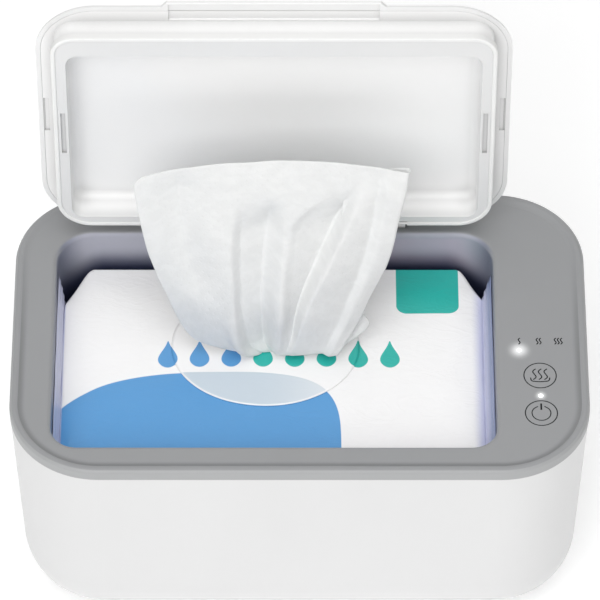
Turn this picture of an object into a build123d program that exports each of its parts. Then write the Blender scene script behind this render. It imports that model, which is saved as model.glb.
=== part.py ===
"""Baby wipe warmer with a flip lid, loaded with a pack of wipes.

Millimetres, +Z up.  The origin is the centre of the footprint on the table, +Y points to the
hinge at the back and +X to the control land.  The lid is modelled closed and then swung open
about its hinge, because open is the rest pose.
"""
from build123d import *
from math import radians, sin, tan
import os

# ---------------------------------------------------------------- driving dimensions
# overall
DECK_W, DECK_D = 266.5, 170.0  # outline of the grey deck, the widest section
DECK_R = 41.5  # its corner radius in plan
DECK_Z = 122.0  # the flat of the deck, where the lid comes down
OPEN_ANGLE = 90.0  # from closed to the stop

# clearances
SLIP = 0.25  # between parts that are pushed together by hand
RUNNING = 0.05  # radial, pin in knuckle
LID_SEAT_GAP = 0.3  # lid edge over the deck
MOUTH_CLEARANCE = 0.9  # lid seal to the front and back walls of the mouth, where it swings
SIDE_CLEARANCE = 0.5  # and to the side walls
HINGE_CLEARANCE = 0.5  # lid to the fixed barrel and its pockets
SOFT_GAP = 0.3  # round soft goods

# outer body
BODY_INSET = 0.2  # reveal under the deck's edge
BODY_WALL = 2.6
BODY_TAPER = 2.5  # degrees, narrower at the bottom
BODY_BASE_FILLET = 34.0  # round between the walls and the flat base
BODY_BOTTOM_Z = 1.5

# deck
DECK_SKIRT = 4.8  # from the flat down to the seam with the body
DECK_PLATE = 2.6
RIM_STEP = 1.0  # the rim stands this much over the flat
RIM_LEDGE = 3.0  # width of the rim
RIM_SLOPE = 2.4  # width of the dished slope inside the rim
RIM_DISH_R = 5.0  # blend of that slope into the flat
RIM_FILLET = 1.8
LIP_DEPTH = 8.0  # the deck's lip inside the body
LIP_WALL = 2.0

# mouth of the tank, by the land left round it
MARGIN_LEFT, MARGIN_FRONT, MARGIN_BACK = 19.45, 16.4, 24.8
CONTROL_LAND = 42.85  # the right margin, where the keys are
MOUTH_FRONT_R, MOUTH_BACK_R = 12.0, 17.0
MOUTH_FILLET = 2.6
COLLAR_WALL = 2.2
COLLAR_DEPTH = 24.0  # from the flat to where the tank begins

# inner tank
TANK_WALL = 1.6
TANK_FLOOR_Z = 40.0  # top of its floor
TANK_FILLET = 8.0
FLANGE_WIDTH = 4.0
EAR_R = 4.6
DECK_SCREW_SIDE = 6.0  # screw line outside the mouth
DECK_SCREW_INSET = 22.4  # screws from the ends of that line
TANK_FOOT_INSET_X, TANK_FOOT_INSET_Y = 45.5, 26.4  # bosses under the tank, from the mouth's walls
TANK_BOSS_R = 4.5
TANK_BOSS_L = 8.4

# heating
BELT_THICKNESS = 0.6
BELT_LIFT, BELT_H = 12.0, 34.0  # over the tank's floor
PLATE_INSET = 26.5  # plate from the mouth's side walls
PLATE_BOSS_GAP = 1.5
PLATE_R, PLATE_THICKNESS = 6.0, 0.8
JACKET_WALL = 3.0
JACKET_DROP = 6.0  # its top below the start of the tank
JACKET_FLOOR = 4.0
SENSOR_W, SENSOR_D, SENSOR_H = 6.0, 4.0, 2.6
SENSOR_X = 22.0
FUSE_R, FUSE_L = 1.6, 10.0
FUSE_X = -26.0
RIB_PITCH = 50.0  # ribs that carry the insulation

# screws
SCREW_R = 1.5
SCREW_HEAD_R, SCREW_HEAD_H = 2.9, 2.0
SCREW_BITE = 7.0  # length inside its boss
TOWER_R = 6.0
TOWER_WEB = 4.0  # between screw head and the top of the tower
BOSS_R = 3.4

# feet
FOOT_R, FOOT_H, FOOT_SINK = 7.0, 2.5, 1.0
FOOT_EDGE = 1.5  # foot from the edge of the flat base

# control land, from the deck's right edge and from its front edge
KEY_SIDE = 22.45
KEY_HEAT_FRONT, KEY_POWER_FRONT = 58.1, 35.6
LEVEL_FRONT, LEVEL_PITCH = 73.4, 9.3
POWER_LIGHT_FRONT = 46.0
BOARD_W, BOARD_D, BOARD_THICKNESS = 24.0, 68.0, 1.6
BOARD_SIDE, BOARD_FRONT = 20.85, 63.0  # its middle
BOARD_DROP = 10.6  # its underside below the flat
BOARD_R = 3.4
BOARD_SCREW_SIDE, BOARD_SCREW_FRONT, BOARD_SCREW_SPACING = 12.75, 47.0, 44.0
BOARD_SCREW_R = 1.1
LED_W, LED_D, LED_H = 2.0, 1.6, 1.0
GUIDE_R = 1.5
LIGHT_SKIN = 0.8  # deck left over a light guide, which shines through it
PAD_R = 6.5  # conductive foam under each touch key

# power inlet in the back wall
INLET_SIDE, INLET_Z = 53.25, 44.0
INLET_BARREL_R, INLET_FLANGE_R, INLET_FLANGE_H = 4.0, 5.6, 1.6
INLET_BORE_R, INLET_BORE_DEPTH, INLET_CORE_R = 2.9, 9.5, 1.0
INLET_LENGTH = 14.0
INLET_NUT_AF, INLET_NUT_H = 11.0, 2.4
INLET_SET = 4.4  # flat that the flange sits on, inside the deck's back edge
INLET_PAD, INLET_PAD_T = 20.0, 5.2  # thickened square of the back wall

# hinge
HINGE_SETBACK = 8.8  # axis behind the mouth
HINGE_R = 4.5
BARREL_HALF = 46.0  # fixed barrel, half length
KNUCKLE_L = 15.0
PIN_R, PIN_L = 1.5, 26.5
PIN_BITE = 12.5  # length inside the fixed barrel
POCKET_WALL = 2.0

# lid
LID_SIDE_MARGIN = 6.9  # lid edge beyond the mouth at the sides
LID_FRONT_MARGIN = 6.5  # and at the front
LID_BACK_GAP = 0.4  # back edge of the lid short of the hinge axis
LID_R = 28.0
LID_EDGE_H = 1.6  # upright edge below the shoulder
LID_H = 8.6
LID_SHOULDER = 55.0  # degrees that the shoulder leans in from upright
LID_SHOULDER_FILLET, LID_TOP_FILLET = 2.0, 14.0
LID_WALL = 2.2
TAB_BASE, TAB_TIP, TAB_REACH = 104.0, 97.0, 2.9
TAB_FILLET = 0.5
SCOOP_L, SCOOP_W, SCOOP_DEPTH = 96.0, 10.0, 0.9
SCOOP_FILLET = 0.8
SCOOP_SET = 1.2  # scoop from the tip of the tab
NOTCH_R = 6.5  # cut-out round the hinge in the lid's back edge
CLIP_W, CLIP_L, CLIP_DEPTH = 2.6, 22.0, 0.9  # clip windows along the lid's sides

# lid liner and seal
LINER_GAP = 0.15
LINER_PLATE = 2.4
PLUG_DEPTH = 12.4  # seal face below the deck's flat
SEAL_W, SEAL_H, SEAL_PROUD = 2.2, 3.6, 0.6  # SEAL_PROUD: beyond the band
ROOT_INSET = 1.4  # plug wall inside the seal's outline
BAND_SIDE, BAND_FRONT, BAND_BACK = 6.7, 12.0, 5.8
PAN_DEPTH = 13.4  # from the band to the pan's floor
PAN_WALL = 2.0
PAN_R, PAN_FILLET = 6.0, 3.5
PAN_TAPER = 3.0
RELIEF, RELIEF_H = 1.2, 7.2  # cut-out of the plug's back edge at the hinge
SLOT_W, SLOT_L, SLOT_DEPTH = 2.2, 27.0, 1.2  # clip slots in the side bands

# load
PACK_SIDE_GAP, PACK_FRONT_GAP, PACK_BACK_GAP = 1.0, 4.8, 5.0  # to the walls of the mouth
PACK_DROP = 18.5  # its top below the flat
PACK_R, PACK_TOP_FILLET, PACK_FLOOR_FILLET = 9.0, 3.0, 9.0
PACK_CUT_X, PACK_CUT_Y = 12.5, 19.4  # folded-in corners at the back
FLAP_RX, FLAP_RY, FLAP_H = 47.0, 38.0, 0.6
FLAP_SHIFT_X, FLAP_SHIFT_Y = -3.3, 9.2  # from the middle of the mouth
WIPE_BASE, WIPE_TOP, WIPE_LENGTH, WIPE_THICKNESS = 52.0, 128.0, 100.0, 2.4
WIPE_SHIFT_X, WIPE_SHIFT_Y = -2.8, 6.2  # from the middle of the mouth
WIPE_LEAN = 20.0  # degrees back from upright

# ---------------------------------------------------------------- derived places
RIGHT_EDGE, FRONT_EDGE, BACK_EDGE = DECK_W / 2, -DECK_D / 2, DECK_D / 2
RIM_TOP_Z = DECK_Z + RIM_STEP
PLATE_Z = DECK_Z - DECK_PLATE
BODY_TOP_Z = DECK_Z - DECK_SKIRT
COLLAR_Z = DECK_Z - COLLAR_DEPTH

MOUTH_W = DECK_W - MARGIN_LEFT - CONTROL_LAND
MOUTH_D = DECK_D - MARGIN_FRONT - MARGIN_BACK
MOUTH_X = (MARGIN_LEFT - CONTROL_LAND) / 2
MOUTH_Y = (MARGIN_FRONT - MARGIN_BACK) / 2
MOUTH = (MOUTH_X, MOUTH_Y)
MOUTH_FRONT = MOUTH_Y - MOUTH_D / 2
MOUTH_BACK = MOUTH_Y + MOUTH_D / 2

HINGE_Y = MOUTH_BACK + HINGE_SETBACK
HINGE_AXIS = Axis((MOUTH_X, HINGE_Y, DECK_Z), (1, 0, 0))
HINGE_SPAN = 2 * (BARREL_HALF + KNUCKLE_L + 2 * HINGE_CLEARANCE)  # barrel and both knuckles

LID_EDGE_Z = DECK_Z + LID_SEAT_GAP
LID_W = MOUTH_W + 2 * LID_SIDE_MARGIN
LID_FRONT = MOUTH_FRONT - LID_FRONT_MARGIN
LID_BACK = HINGE_Y - LID_BACK_GAP
LID_D = LID_BACK - LID_FRONT
LID = (MOUTH_X, (LID_FRONT + LID_BACK) / 2)

KEY_X = RIGHT_EDGE - KEY_SIDE
LEVEL_Y = FRONT_EDGE + LEVEL_FRONT
LIGHTS = [(KEY_X - LEVEL_PITCH, LEVEL_Y), (KEY_X, LEVEL_Y), (KEY_X + LEVEL_PITCH, LEVEL_Y),
          (KEY_X, FRONT_EDGE + POWER_LIGHT_FRONT)]
KEYS = [(KEY_X, FRONT_EDGE + KEY_HEAT_FRONT), (KEY_X, FRONT_EDGE + KEY_POWER_FRONT)]
BOARD = (RIGHT_EDGE - BOARD_SIDE, FRONT_EDGE + BOARD_FRONT)
BOARD_Z = DECK_Z - BOARD_DROP
BOARD_TOP_Z = BOARD_Z + BOARD_THICKNESS
BOARD_SCREWS = [(RIGHT_EDGE - BOARD_SCREW_SIDE, FRONT_EDGE + BOARD_SCREW_FRONT + shift)
                for shift in (0, BOARD_SCREW_SPACING)]

SEAL_Z = DECK_Z - PLUG_DEPTH
BAND_Z = SEAL_Z + SEAL_PROUD
SEAL_OUT_W = MOUTH_W - 2 * SIDE_CLEARANCE
SEAL_OUT_D = MOUTH_D - 2 * MOUTH_CLEARANCE

TANK_UNDER_Z = TANK_FLOOR_Z - TANK_WALL
TANK_BOSS_Z = TANK_UNDER_Z - TANK_BOSS_L
TANK_FOOT_X = MOUTH_W / 2 - TANK_FOOT_INSET_X
TANK_FOOT_Y = MOUTH_D / 2 - TANK_FOOT_INSET_Y
SCREWS_UNDER = [(MOUTH_X + sx * TANK_FOOT_X, MOUTH_Y + sy * TANK_FOOT_Y)
                for sx in (-1, 1) for sy in (-1, 1)]
DECK_SCREWS = [(MOUTH_X + sx * (MOUTH_W / 2 + DECK_SCREW_SIDE),
                MOUTH_Y + sy * (MOUTH_D / 2 - DECK_SCREW_INSET))
               for sx in (-1, 1) for sy in (-1, 1)]
PLATE_W = MOUTH_W - 2 * PLATE_INSET
PLATE_D = 2 * (TANK_FOOT_Y - TANK_BOSS_R - PLATE_BOSS_GAP)
PLATE_UNDER_Z = TANK_UNDER_Z - PLATE_THICKNESS
JACKET_FLOOR_Z = PLATE_UNDER_Z - JACKET_FLOOR

FLOOR_TOP_Z = BODY_BOTTOM_Z + BODY_WALL
BASE_INSET = (BODY_INSET + BODY_BASE_FILLET
              + (BODY_TOP_Z - BODY_BOTTOM_Z) * tan(radians(BODY_TAPER)))  # flat base to deck
FOOT_X = DECK_W / 2 - BASE_INSET - FOOT_R - FOOT_EDGE
FOOT_Y = DECK_D / 2 - BASE_INSET - FOOT_R - FOOT_EDGE
PACK_TOP_Z = DECK_Z - PACK_DROP

os.makedirs("parts", exist_ok=True)


def mouth_outline(grow, mode=Mode.ADD, widen=0.0):
    """The mouth's outline, grown on every side, then at its two sides, for the sketch in hand."""
    with BuildSketch(mode=Mode.PRIVATE) as outline:
        with Locations(MOUTH):
            Rectangle(MOUTH_W + 2 * (grow + widen), MOUTH_D + 2 * grow)
        fillet(outline.vertices().group_by(Axis.Y)[0], MOUTH_FRONT_R + grow)
        fillet(outline.vertices().group_by(Axis.Y)[-1], MOUTH_BACK_R + grow)
    add(outline.sketch, mode=mode)


def plug_outline(inset, mode=Mode.ADD):
    """The outline of the lid's plug at its seal, inset on every side, for the sketch in hand."""
    mouth_outline(-MOUTH_CLEARANCE - inset, mode, widen=MOUTH_CLEARANCE - SIDE_CLEARANCE)


def write(piece, name):
    """Label a finished piece and write it as the node of that name."""
    piece.label = name
    export_step(piece, f"parts/{name}.step")


def swung_open(piece):
    """A piece of the lid, taken from closed to the open rest pose."""
    return piece.rotate(HINGE_AXIS, -OPEN_ANGLE)


def body_block(inset, bottom_z):
    """A solid of the body's tapered form, inset from its outside, for the shell or its hollow."""
    with BuildPart(mode=Mode.PRIVATE) as block:
        with BuildSketch(Plane.XY.offset(BODY_TOP_Z)):
            RectangleRounded(DECK_W - 2 * (BODY_INSET + inset), DECK_D - 2 * (BODY_INSET + inset),
                             DECK_R - BODY_INSET - inset)
        extrude(amount=-(BODY_TOP_Z - bottom_z), taper=BODY_TAPER)
        fillet(block.edges().group_by(Axis.Z)[0], BODY_BASE_FILLET - inset)
    return block.part


def lid_block(inset):
    """A solid of the lid cover's form, inset evenly from its outside."""
    edge_h = LID_EDGE_H - inset * tan(radians(LID_SHOULDER / 2))
    with BuildPart(mode=Mode.PRIVATE) as block:
        with BuildSketch(Plane.XY.offset(LID_EDGE_Z)):
            with Locations(LID):
                RectangleRounded(LID_W - 2 * inset, LID_D - 2 * inset, LID_R - inset)
        extrude(amount=edge_h)
        shoulder_start = block.faces().sort_by(Axis.Z)[-1]
        extrude(shoulder_start, amount=LID_H - inset - edge_h, taper=LID_SHOULDER)
        fillet(block.edges().group_by(Axis.Z)[-1], LID_TOP_FILLET - inset)
    return block.part


# ---------------------------------------------------------------- outer body
with BuildPart() as outer_body:
    add(body_block(0, BODY_BOTTOM_Z))
    add(body_block(BODY_WALL, FLOOR_TOP_Z), mode=Mode.SUBTRACT)
    # towers that carry the tank, with the body screws sunk in them from below
    with BuildSketch(Plane.XY.offset(BODY_BOTTOM_Z + BODY_WALL / 2)):
        with Locations(*SCREWS_UNDER):
            Circle(TOWER_R)
    extrude(amount=TANK_BOSS_Z - BODY_BOTTOM_Z - BODY_WALL / 2)
    with BuildSketch(Plane.XY.offset(BODY_BOTTOM_Z)):
        with Locations(*SCREWS_UNDER):
            Circle(SCREW_HEAD_R + SLIP)
    extrude(amount=TANK_BOSS_Z - TOWER_WEB - BODY_BOTTOM_Z, mode=Mode.SUBTRACT)
    with BuildSketch(Plane.XY.offset(BODY_BOTTOM_Z)):
        with Locations(*SCREWS_UNDER):
            Circle(SCREW_R + SLIP)
    extrude(amount=TANK_BOSS_Z - BODY_BOTTOM_Z, mode=Mode.SUBTRACT)
    # ribs under the insulation
    with BuildSketch(Plane.XY.offset(BODY_BOTTOM_Z + BODY_WALL / 2)):
        with Locations(MOUTH):
            with GridLocations(RIB_PITCH, 0, 3, 1):
                Rectangle(BODY_WALL, PLATE_D)
    extrude(amount=JACKET_FLOOR_Z - BODY_BOTTOM_Z - BODY_WALL / 2)
    # pockets for the feet
    with BuildSketch(Plane.XY.offset(BODY_BOTTOM_Z)):
        with GridLocations(2 * FOOT_X, 2 * FOOT_Y, 2, 2):
            Circle(FOOT_R)
    extrude(amount=FOOT_SINK, mode=Mode.SUBTRACT)
    # thickened square and flat seat for the power inlet
    inlet_plane = Plane((RIGHT_EDGE - INLET_SIDE, BACK_EDGE - INLET_SET, INLET_Z),
                        x_dir=(1, 0, 0), z_dir=(0, -1, 0))
    with BuildSketch(inlet_plane):
        RectangleRounded(INLET_PAD, INLET_PAD, BODY_WALL)
    extrude(amount=INLET_PAD_T)
    with BuildSketch(inlet_plane):
        Circle(INLET_FLANGE_R + SLIP)
    extrude(amount=-INLET_SET, mode=Mode.SUBTRACT)
    with BuildSketch(inlet_plane):
        Circle(INLET_BARREL_R + SLIP / 2)
    extrude(amount=INLET_PAD_T, mode=Mode.SUBTRACT)
write(outer_body.part, "outer_body")

# ---------------------------------------------------------------- rubber feet
with BuildPart() as feet:
    with BuildSketch():
        with GridLocations(2 * FOOT_X, 2 * FOOT_Y, 2, 2):
            Circle(FOOT_R)
    extrude(amount=FOOT_H)
    chamfer(feet.edges().group_by(Axis.Z)[0], FOOT_SINK / 2)
write(feet.part, "rubber_feet")

# ---------------------------------------------------------------- body screws
with BuildPart() as body_screws:
    head_z = TANK_BOSS_Z - TOWER_WEB - SCREW_HEAD_H
    with BuildSketch(Plane.XY.offset(head_z)):
        with Locations(*SCREWS_UNDER):
            Circle(SCREW_HEAD_R)
    extrude(amount=SCREW_HEAD_H)
    with BuildSketch(Plane.XY.offset(head_z)):
        with Locations(*SCREWS_UNDER):
            Circle(SCREW_R)
    extrude(amount=SCREW_HEAD_H + TOWER_WEB + SCREW_BITE)
    with BuildSketch(Plane.XY.offset(head_z)):
        with Locations(*SCREWS_UNDER):
            Rectangle(SCREW_R * 2, SCREW_R / 2)
            Rectangle(SCREW_R / 2, SCREW_R * 2)
    extrude(amount=SCREW_HEAD_H / 2, mode=Mode.SUBTRACT)
write(body_screws.part, "body_screws")

# ---------------------------------------------------------------- deck
with BuildPart() as deck:
    with BuildSketch(Plane.XY.offset(BODY_TOP_Z)):
        RectangleRounded(DECK_W, DECK_D, DECK_R)
    extrude(amount=RIM_TOP_Z - BODY_TOP_Z)
    fillet(deck.edges().group_by(Axis.Z)[-1], RIM_FILLET)
    # sunk flat inside the rim, with a dished slope up to it
    for level, inset in ((RIM_TOP_Z, RIM_LEDGE), (DECK_Z, RIM_LEDGE + RIM_SLOPE)):
        with BuildSketch(Plane.XY.offset(level)):
            RectangleRounded(DECK_W - 2 * inset, DECK_D - 2 * inset, DECK_R - inset)
    loft(mode=Mode.SUBTRACT)
    flat_edge = deck.faces().filter_by(Plane.XY).sort_by(Axis.Z)[-2].outer_wire().edges()
    fillet(flat_edge, RIM_DISH_R)
    # hollow underside and the lip that drops into the body
    lip_half_inset = BODY_INSET + BODY_WALL + SLIP + LIP_DEPTH * tan(radians(BODY_TAPER))
    with BuildSketch(Plane.XY.offset(BODY_TOP_Z - LIP_DEPTH)):
        RectangleRounded(DECK_W - 2 * lip_half_inset, DECK_D - 2 * lip_half_inset,
                         DECK_R - lip_half_inset)
    extrude(amount=LIP_DEPTH + DECK_SKIRT / 2)
    lip_inner = lip_half_inset + LIP_WALL
    with BuildSketch(Plane.XY.offset(BODY_TOP_Z - LIP_DEPTH)):
        RectangleRounded(DECK_W - 2 * lip_inner, DECK_D - 2 * lip_inner, DECK_R - lip_inner)
    extrude(amount=PLATE_Z - BODY_TOP_Z + LIP_DEPTH, mode=Mode.SUBTRACT)
    # collar down to the tank
    with BuildSketch(Plane.XY.offset(COLLAR_Z)):
        mouth_outline(COLLAR_WALL)
    extrude(amount=DECK_Z - COLLAR_Z - DECK_PLATE / 2)
    # bosses for the deck screws and for the board
    with BuildSketch(Plane.XY.offset(COLLAR_Z)):
        with Locations(*DECK_SCREWS):
            Circle(BOSS_R)
    extrude(amount=DECK_Z - COLLAR_Z - DECK_PLATE / 2)
    with BuildSketch(Plane.XY.offset(BOARD_TOP_Z)):
        with Locations(*BOARD_SCREWS):
            Circle(BOSS_R)
    extrude(amount=DECK_Z - BOARD_TOP_Z - DECK_PLATE / 2)
    # blocks under the hinge pockets
    pocket_l = KNUCKLE_L + 2 * HINGE_CLEARANCE
    pocket_d = 2 * (HINGE_R + HINGE_CLEARANCE)
    pocket_x = BARREL_HALF + pocket_l / 2
    with BuildSketch(Plane.XY.offset(DECK_Z - HINGE_R - HINGE_CLEARANCE - POCKET_WALL)):
        with Locations((MOUTH_X, HINGE_Y)):
            with GridLocations(2 * pocket_x, 0, 2, 1):
                Rectangle(pocket_l + 2 * POCKET_WALL, pocket_d + 2 * POCKET_WALL)
    extrude(amount=HINGE_R + POCKET_WALL)
    # fixed hinge barrel
    barrel_plane = Plane((MOUTH_X - BARREL_HALF, HINGE_Y, DECK_Z), x_dir=(0, 1, 0), z_dir=(1, 0, 0))
    with BuildSketch(barrel_plane):
        Circle(HINGE_R)
    extrude(amount=2 * BARREL_HALF)
    # pockets that the lid's knuckles turn in
    with BuildSketch(Plane.XY.offset(DECK_Z)):
        with Locations((MOUTH_X, HINGE_Y)):
            with GridLocations(2 * pocket_x, 0, 2, 1):
                Rectangle(pocket_l, pocket_d)
    extrude(amount=-(HINGE_R + HINGE_CLEARANCE), mode=Mode.SUBTRACT)
    # blind bores for the pins
    for side in (-1, 1):
        end_plane = Plane((MOUTH_X + side * BARREL_HALF, HINGE_Y, DECK_Z), x_dir=(0, 1, 0),
                          z_dir=(-side, 0, 0))
        with BuildSketch(end_plane):
            Circle(PIN_R)
        extrude(amount=PIN_BITE, mode=Mode.SUBTRACT)
    # the mouth, with its rounded edge
    with BuildSketch(Plane.XY.offset(COLLAR_Z)):
        mouth_outline(0)
    extrude(amount=RIM_TOP_Z - COLLAR_Z, mode=Mode.SUBTRACT)
    mouth_faces = deck.faces().filter_by(Plane.XY).filter_by(
        lambda f: abs(f.center().Z - DECK_Z) < 0.01 and f.area > MOUTH_W * MARGIN_FRONT)
    mouth_edge = mouth_faces[0].inner_wires().sort_by(SortBy.LENGTH)[-1].edges()
    fillet(mouth_edge, MOUTH_FILLET)
    # pilot holes
    with BuildSketch(Plane.XY.offset(COLLAR_Z)):
        with Locations(*DECK_SCREWS):
            Circle(SCREW_R)
    extrude(amount=SCREW_BITE, mode=Mode.SUBTRACT)
    with BuildSketch(Plane.XY.offset(BOARD_TOP_Z)):
        with Locations(*BOARD_SCREWS):
            Circle(BOARD_SCREW_R)
    extrude(amount=(PLATE_Z - BOARD_TOP_Z) - SLIP, mode=Mode.SUBTRACT)
    # blind pockets for the light guides, under a thin skin
    with BuildSketch(Plane.XY.offset(PLATE_Z)):
        with Locations(*LIGHTS):
            Circle(GUIDE_R + SLIP / 2)
    extrude(amount=DECK_PLATE - LIGHT_SKIN, mode=Mode.SUBTRACT)
write(deck.part, "deck")

# ---------------------------------------------------------------- inner tank
with BuildPart() as inner_tank:
    with BuildSketch(Plane.XY.offset(TANK_UNDER_Z)):
        mouth_outline(TANK_WALL)
    extrude(amount=COLLAR_Z - TANK_UNDER_Z)
    fillet(inner_tank.edges().group_by(Axis.Z)[0], TANK_FILLET + TANK_WALL)
    # flange with ears for the deck screws
    with BuildSketch(Plane.XY.offset(COLLAR_Z - TANK_WALL)):
        mouth_outline(FLANGE_WIDTH)
        with Locations(*DECK_SCREWS):
            Circle(EAR_R)
    extrude(amount=TANK_WALL)
    with BuildSketch(Plane.XY.offset(TANK_UNDER_Z + TANK_WALL / 2)):
        with Locations(*SCREWS_UNDER):
            Circle(TANK_BOSS_R)
    extrude(amount=-(TANK_UNDER_Z + TANK_WALL / 2 - TANK_BOSS_Z))
    # inside, added as a filleted block and taken away
    with BuildPart(mode=Mode.PRIVATE) as tank_inside:
        with BuildSketch(Plane.XY.offset(TANK_FLOOR_Z)):
            mouth_outline(0)
        extrude(amount=COLLAR_Z - TANK_FLOOR_Z)
        fillet(tank_inside.edges().group_by(Axis.Z)[0], TANK_FILLET)
    add(tank_inside.part, mode=Mode.SUBTRACT)
    with BuildSketch(Plane.XY.offset(TANK_BOSS_Z)):
        with Locations(*SCREWS_UNDER):
            Circle(SCREW_R)
    extrude(amount=SCREW_BITE, mode=Mode.SUBTRACT)
    with BuildSketch(Plane.XY.offset(COLLAR_Z - TANK_WALL)):
        with Locations(*DECK_SCREWS):
            Circle(SCREW_R + SLIP)
    extrude(amount=TANK_WALL, mode=Mode.SUBTRACT)
write(inner_tank.part, "inner_tank")

# ---------------------------------------------------------------- deck screws
with BuildPart() as deck_screws:
    with BuildSketch(Plane.XY.offset(COLLAR_Z - TANK_WALL - SCREW_HEAD_H)):
        with Locations(*DECK_SCREWS):
            Circle(SCREW_HEAD_R)
    extrude(amount=SCREW_HEAD_H)
    with BuildSketch(Plane.XY.offset(COLLAR_Z - TANK_WALL)):
        with Locations(*DECK_SCREWS):
            Circle(SCREW_R)
    extrude(amount=TANK_WALL + SCREW_BITE)
write(deck_screws.part, "deck_screws")

# ---------------------------------------------------------------- heating belt and plate
with BuildPart() as heating_belt:
    with BuildSketch(Plane.XY.offset(TANK_FLOOR_Z + BELT_LIFT)):
        mouth_outline(TANK_WALL + BELT_THICKNESS)
        mouth_outline(TANK_WALL, mode=Mode.SUBTRACT)
    extrude(amount=BELT_H)
write(heating_belt.part, "heating_belt")

with BuildPart() as heating_plate:
    with BuildSketch(Plane.XY.offset(PLATE_UNDER_Z)):
        with Locations(MOUTH):
            RectangleRounded(PLATE_W, PLATE_D, PLATE_R)
    extrude(amount=PLATE_THICKNESS)
write(heating_plate.part, "heating_plate")

# ---------------------------------------------------------------- insulation jacket
with BuildPart() as insulation:
    jacket_inner = TANK_WALL + BELT_THICKNESS + SLIP
    with BuildSketch(Plane.XY.offset(JACKET_FLOOR_Z)):
        mouth_outline(jacket_inner + JACKET_WALL)
    extrude(amount=COLLAR_Z - JACKET_DROP - JACKET_FLOOR_Z)
    with BuildSketch(Plane.XY.offset(PLATE_UNDER_Z)):
        mouth_outline(jacket_inner)
    extrude(amount=COLLAR_Z - PLATE_UNDER_Z, mode=Mode.SUBTRACT)
    with BuildSketch(Plane.XY.offset(JACKET_FLOOR_Z)):
        with Locations(*SCREWS_UNDER):
            Circle(TANK_BOSS_R + SLIP)
    extrude(amount=JACKET_FLOOR, mode=Mode.SUBTRACT)
    # nests for the sensor and the fuse
    with BuildSketch(Plane.XY.offset(PLATE_UNDER_Z)):
        with Locations((MOUTH_X + SENSOR_X, MOUTH_Y)):
            Rectangle(SENSOR_W + 2 * SLIP, SENSOR_D + 2 * SLIP)
        with Locations((MOUTH_X + FUSE_X, MOUTH_Y)):
            Rectangle(FUSE_L + 2 * SLIP, 2 * (FUSE_R + SLIP))
    extrude(amount=-(2 * FUSE_R), mode=Mode.SUBTRACT)
write(insulation.part, "insulation_jacket")

# ---------------------------------------------------------------- sensor and fuse
with BuildPart() as sensor:
    with BuildSketch(Plane.XY.offset(PLATE_UNDER_Z - SENSOR_H)):
        with Locations((MOUTH_X + SENSOR_X, MOUTH_Y)):
            RectangleRounded(SENSOR_W, SENSOR_D, SENSOR_D / 4)
    extrude(amount=SENSOR_H)
write(sensor.part, "temperature_sensor")

fuse_plane = Plane((MOUTH_X + FUSE_X - FUSE_L / 2, MOUTH_Y, PLATE_UNDER_Z - FUSE_R),
                   x_dir=(0, 1, 0), z_dir=(1, 0, 0))
with BuildPart() as fuse:
    with BuildSketch(fuse_plane):
        Circle(FUSE_R)
    extrude(amount=FUSE_L)
    fillet(fuse.edges().filter_by(GeomType.CIRCLE), FUSE_R / 3)
write(fuse.part, "thermal_fuse")

# ---------------------------------------------------------------- control board
with BuildPart() as board:
    with BuildSketch(Plane.XY.offset(BOARD_Z)):
        with Locations(BOARD):
            RectangleRounded(BOARD_W, BOARD_D, BOARD_R)
        with Locations(*BOARD_SCREWS):
            Circle(BOARD_SCREW_R + SLIP, mode=Mode.SUBTRACT)
    extrude(amount=BOARD_THICKNESS)
write(board.part, "control_board")

with BuildPart() as board_screws:
    with BuildSketch(Plane.XY.offset(BOARD_Z - BOARD_SCREW_R)):
        with Locations(*BOARD_SCREWS):
            Circle(2 * BOARD_SCREW_R)
    extrude(amount=BOARD_SCREW_R)
    with BuildSketch(Plane.XY.offset(BOARD_Z)):
        with Locations(*BOARD_SCREWS):
            Circle(BOARD_SCREW_R)
    extrude(amount=BOARD_THICKNESS + (PLATE_Z - BOARD_TOP_Z) - 2 * SLIP)
write(board_screws.part, "board_screws")

with BuildPart() as leds:
    with BuildSketch(Plane.XY.offset(BOARD_TOP_Z)):
        with Locations(*LIGHTS):
            Rectangle(LED_W, LED_D)
    extrude(amount=LED_H)
write(leds.part, "indicator_leds")

with BuildPart() as guides:
    with BuildSketch(Plane.XY.offset(BOARD_TOP_Z + LED_H)):
        with Locations(*LIGHTS):
            Circle(GUIDE_R)
    extrude(amount=DECK_Z - LIGHT_SKIN - BOARD_TOP_Z - LED_H)
write(guides.part, "light_guides")

with BuildPart() as pads:
    with BuildSketch(Plane.XY.offset(BOARD_TOP_Z)):
        with Locations(*KEYS):
            Circle(PAD_R)
    extrude(amount=PLATE_Z - BOARD_TOP_Z)
write(pads.part, "touch_pads")

# ---------------------------------------------------------------- power inlet and its nut
with BuildPart() as inlet:
    with BuildSketch(inlet_plane):
        Circle(INLET_FLANGE_R)
    extrude(amount=-INLET_FLANGE_H)
    fillet(inlet.edges().sort_by(Axis.Y)[-1], INLET_FLANGE_H / 3)
    with BuildSketch(inlet_plane):
        Circle(INLET_BARREL_R)
    extrude(amount=INLET_LENGTH)
    with BuildSketch(inlet_plane.offset(-INLET_FLANGE_H)):
        Circle(INLET_BORE_R)
    extrude(amount=INLET_BORE_DEPTH, mode=Mode.SUBTRACT)
    with BuildSketch(inlet_plane.offset(INLET_BORE_DEPTH - INLET_FLANGE_H + SLIP)):
        Circle(INLET_CORE_R)
    extrude(amount=-(INLET_BORE_DEPTH - INLET_FLANGE_H))
write(inlet.part, "power_inlet")

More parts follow.
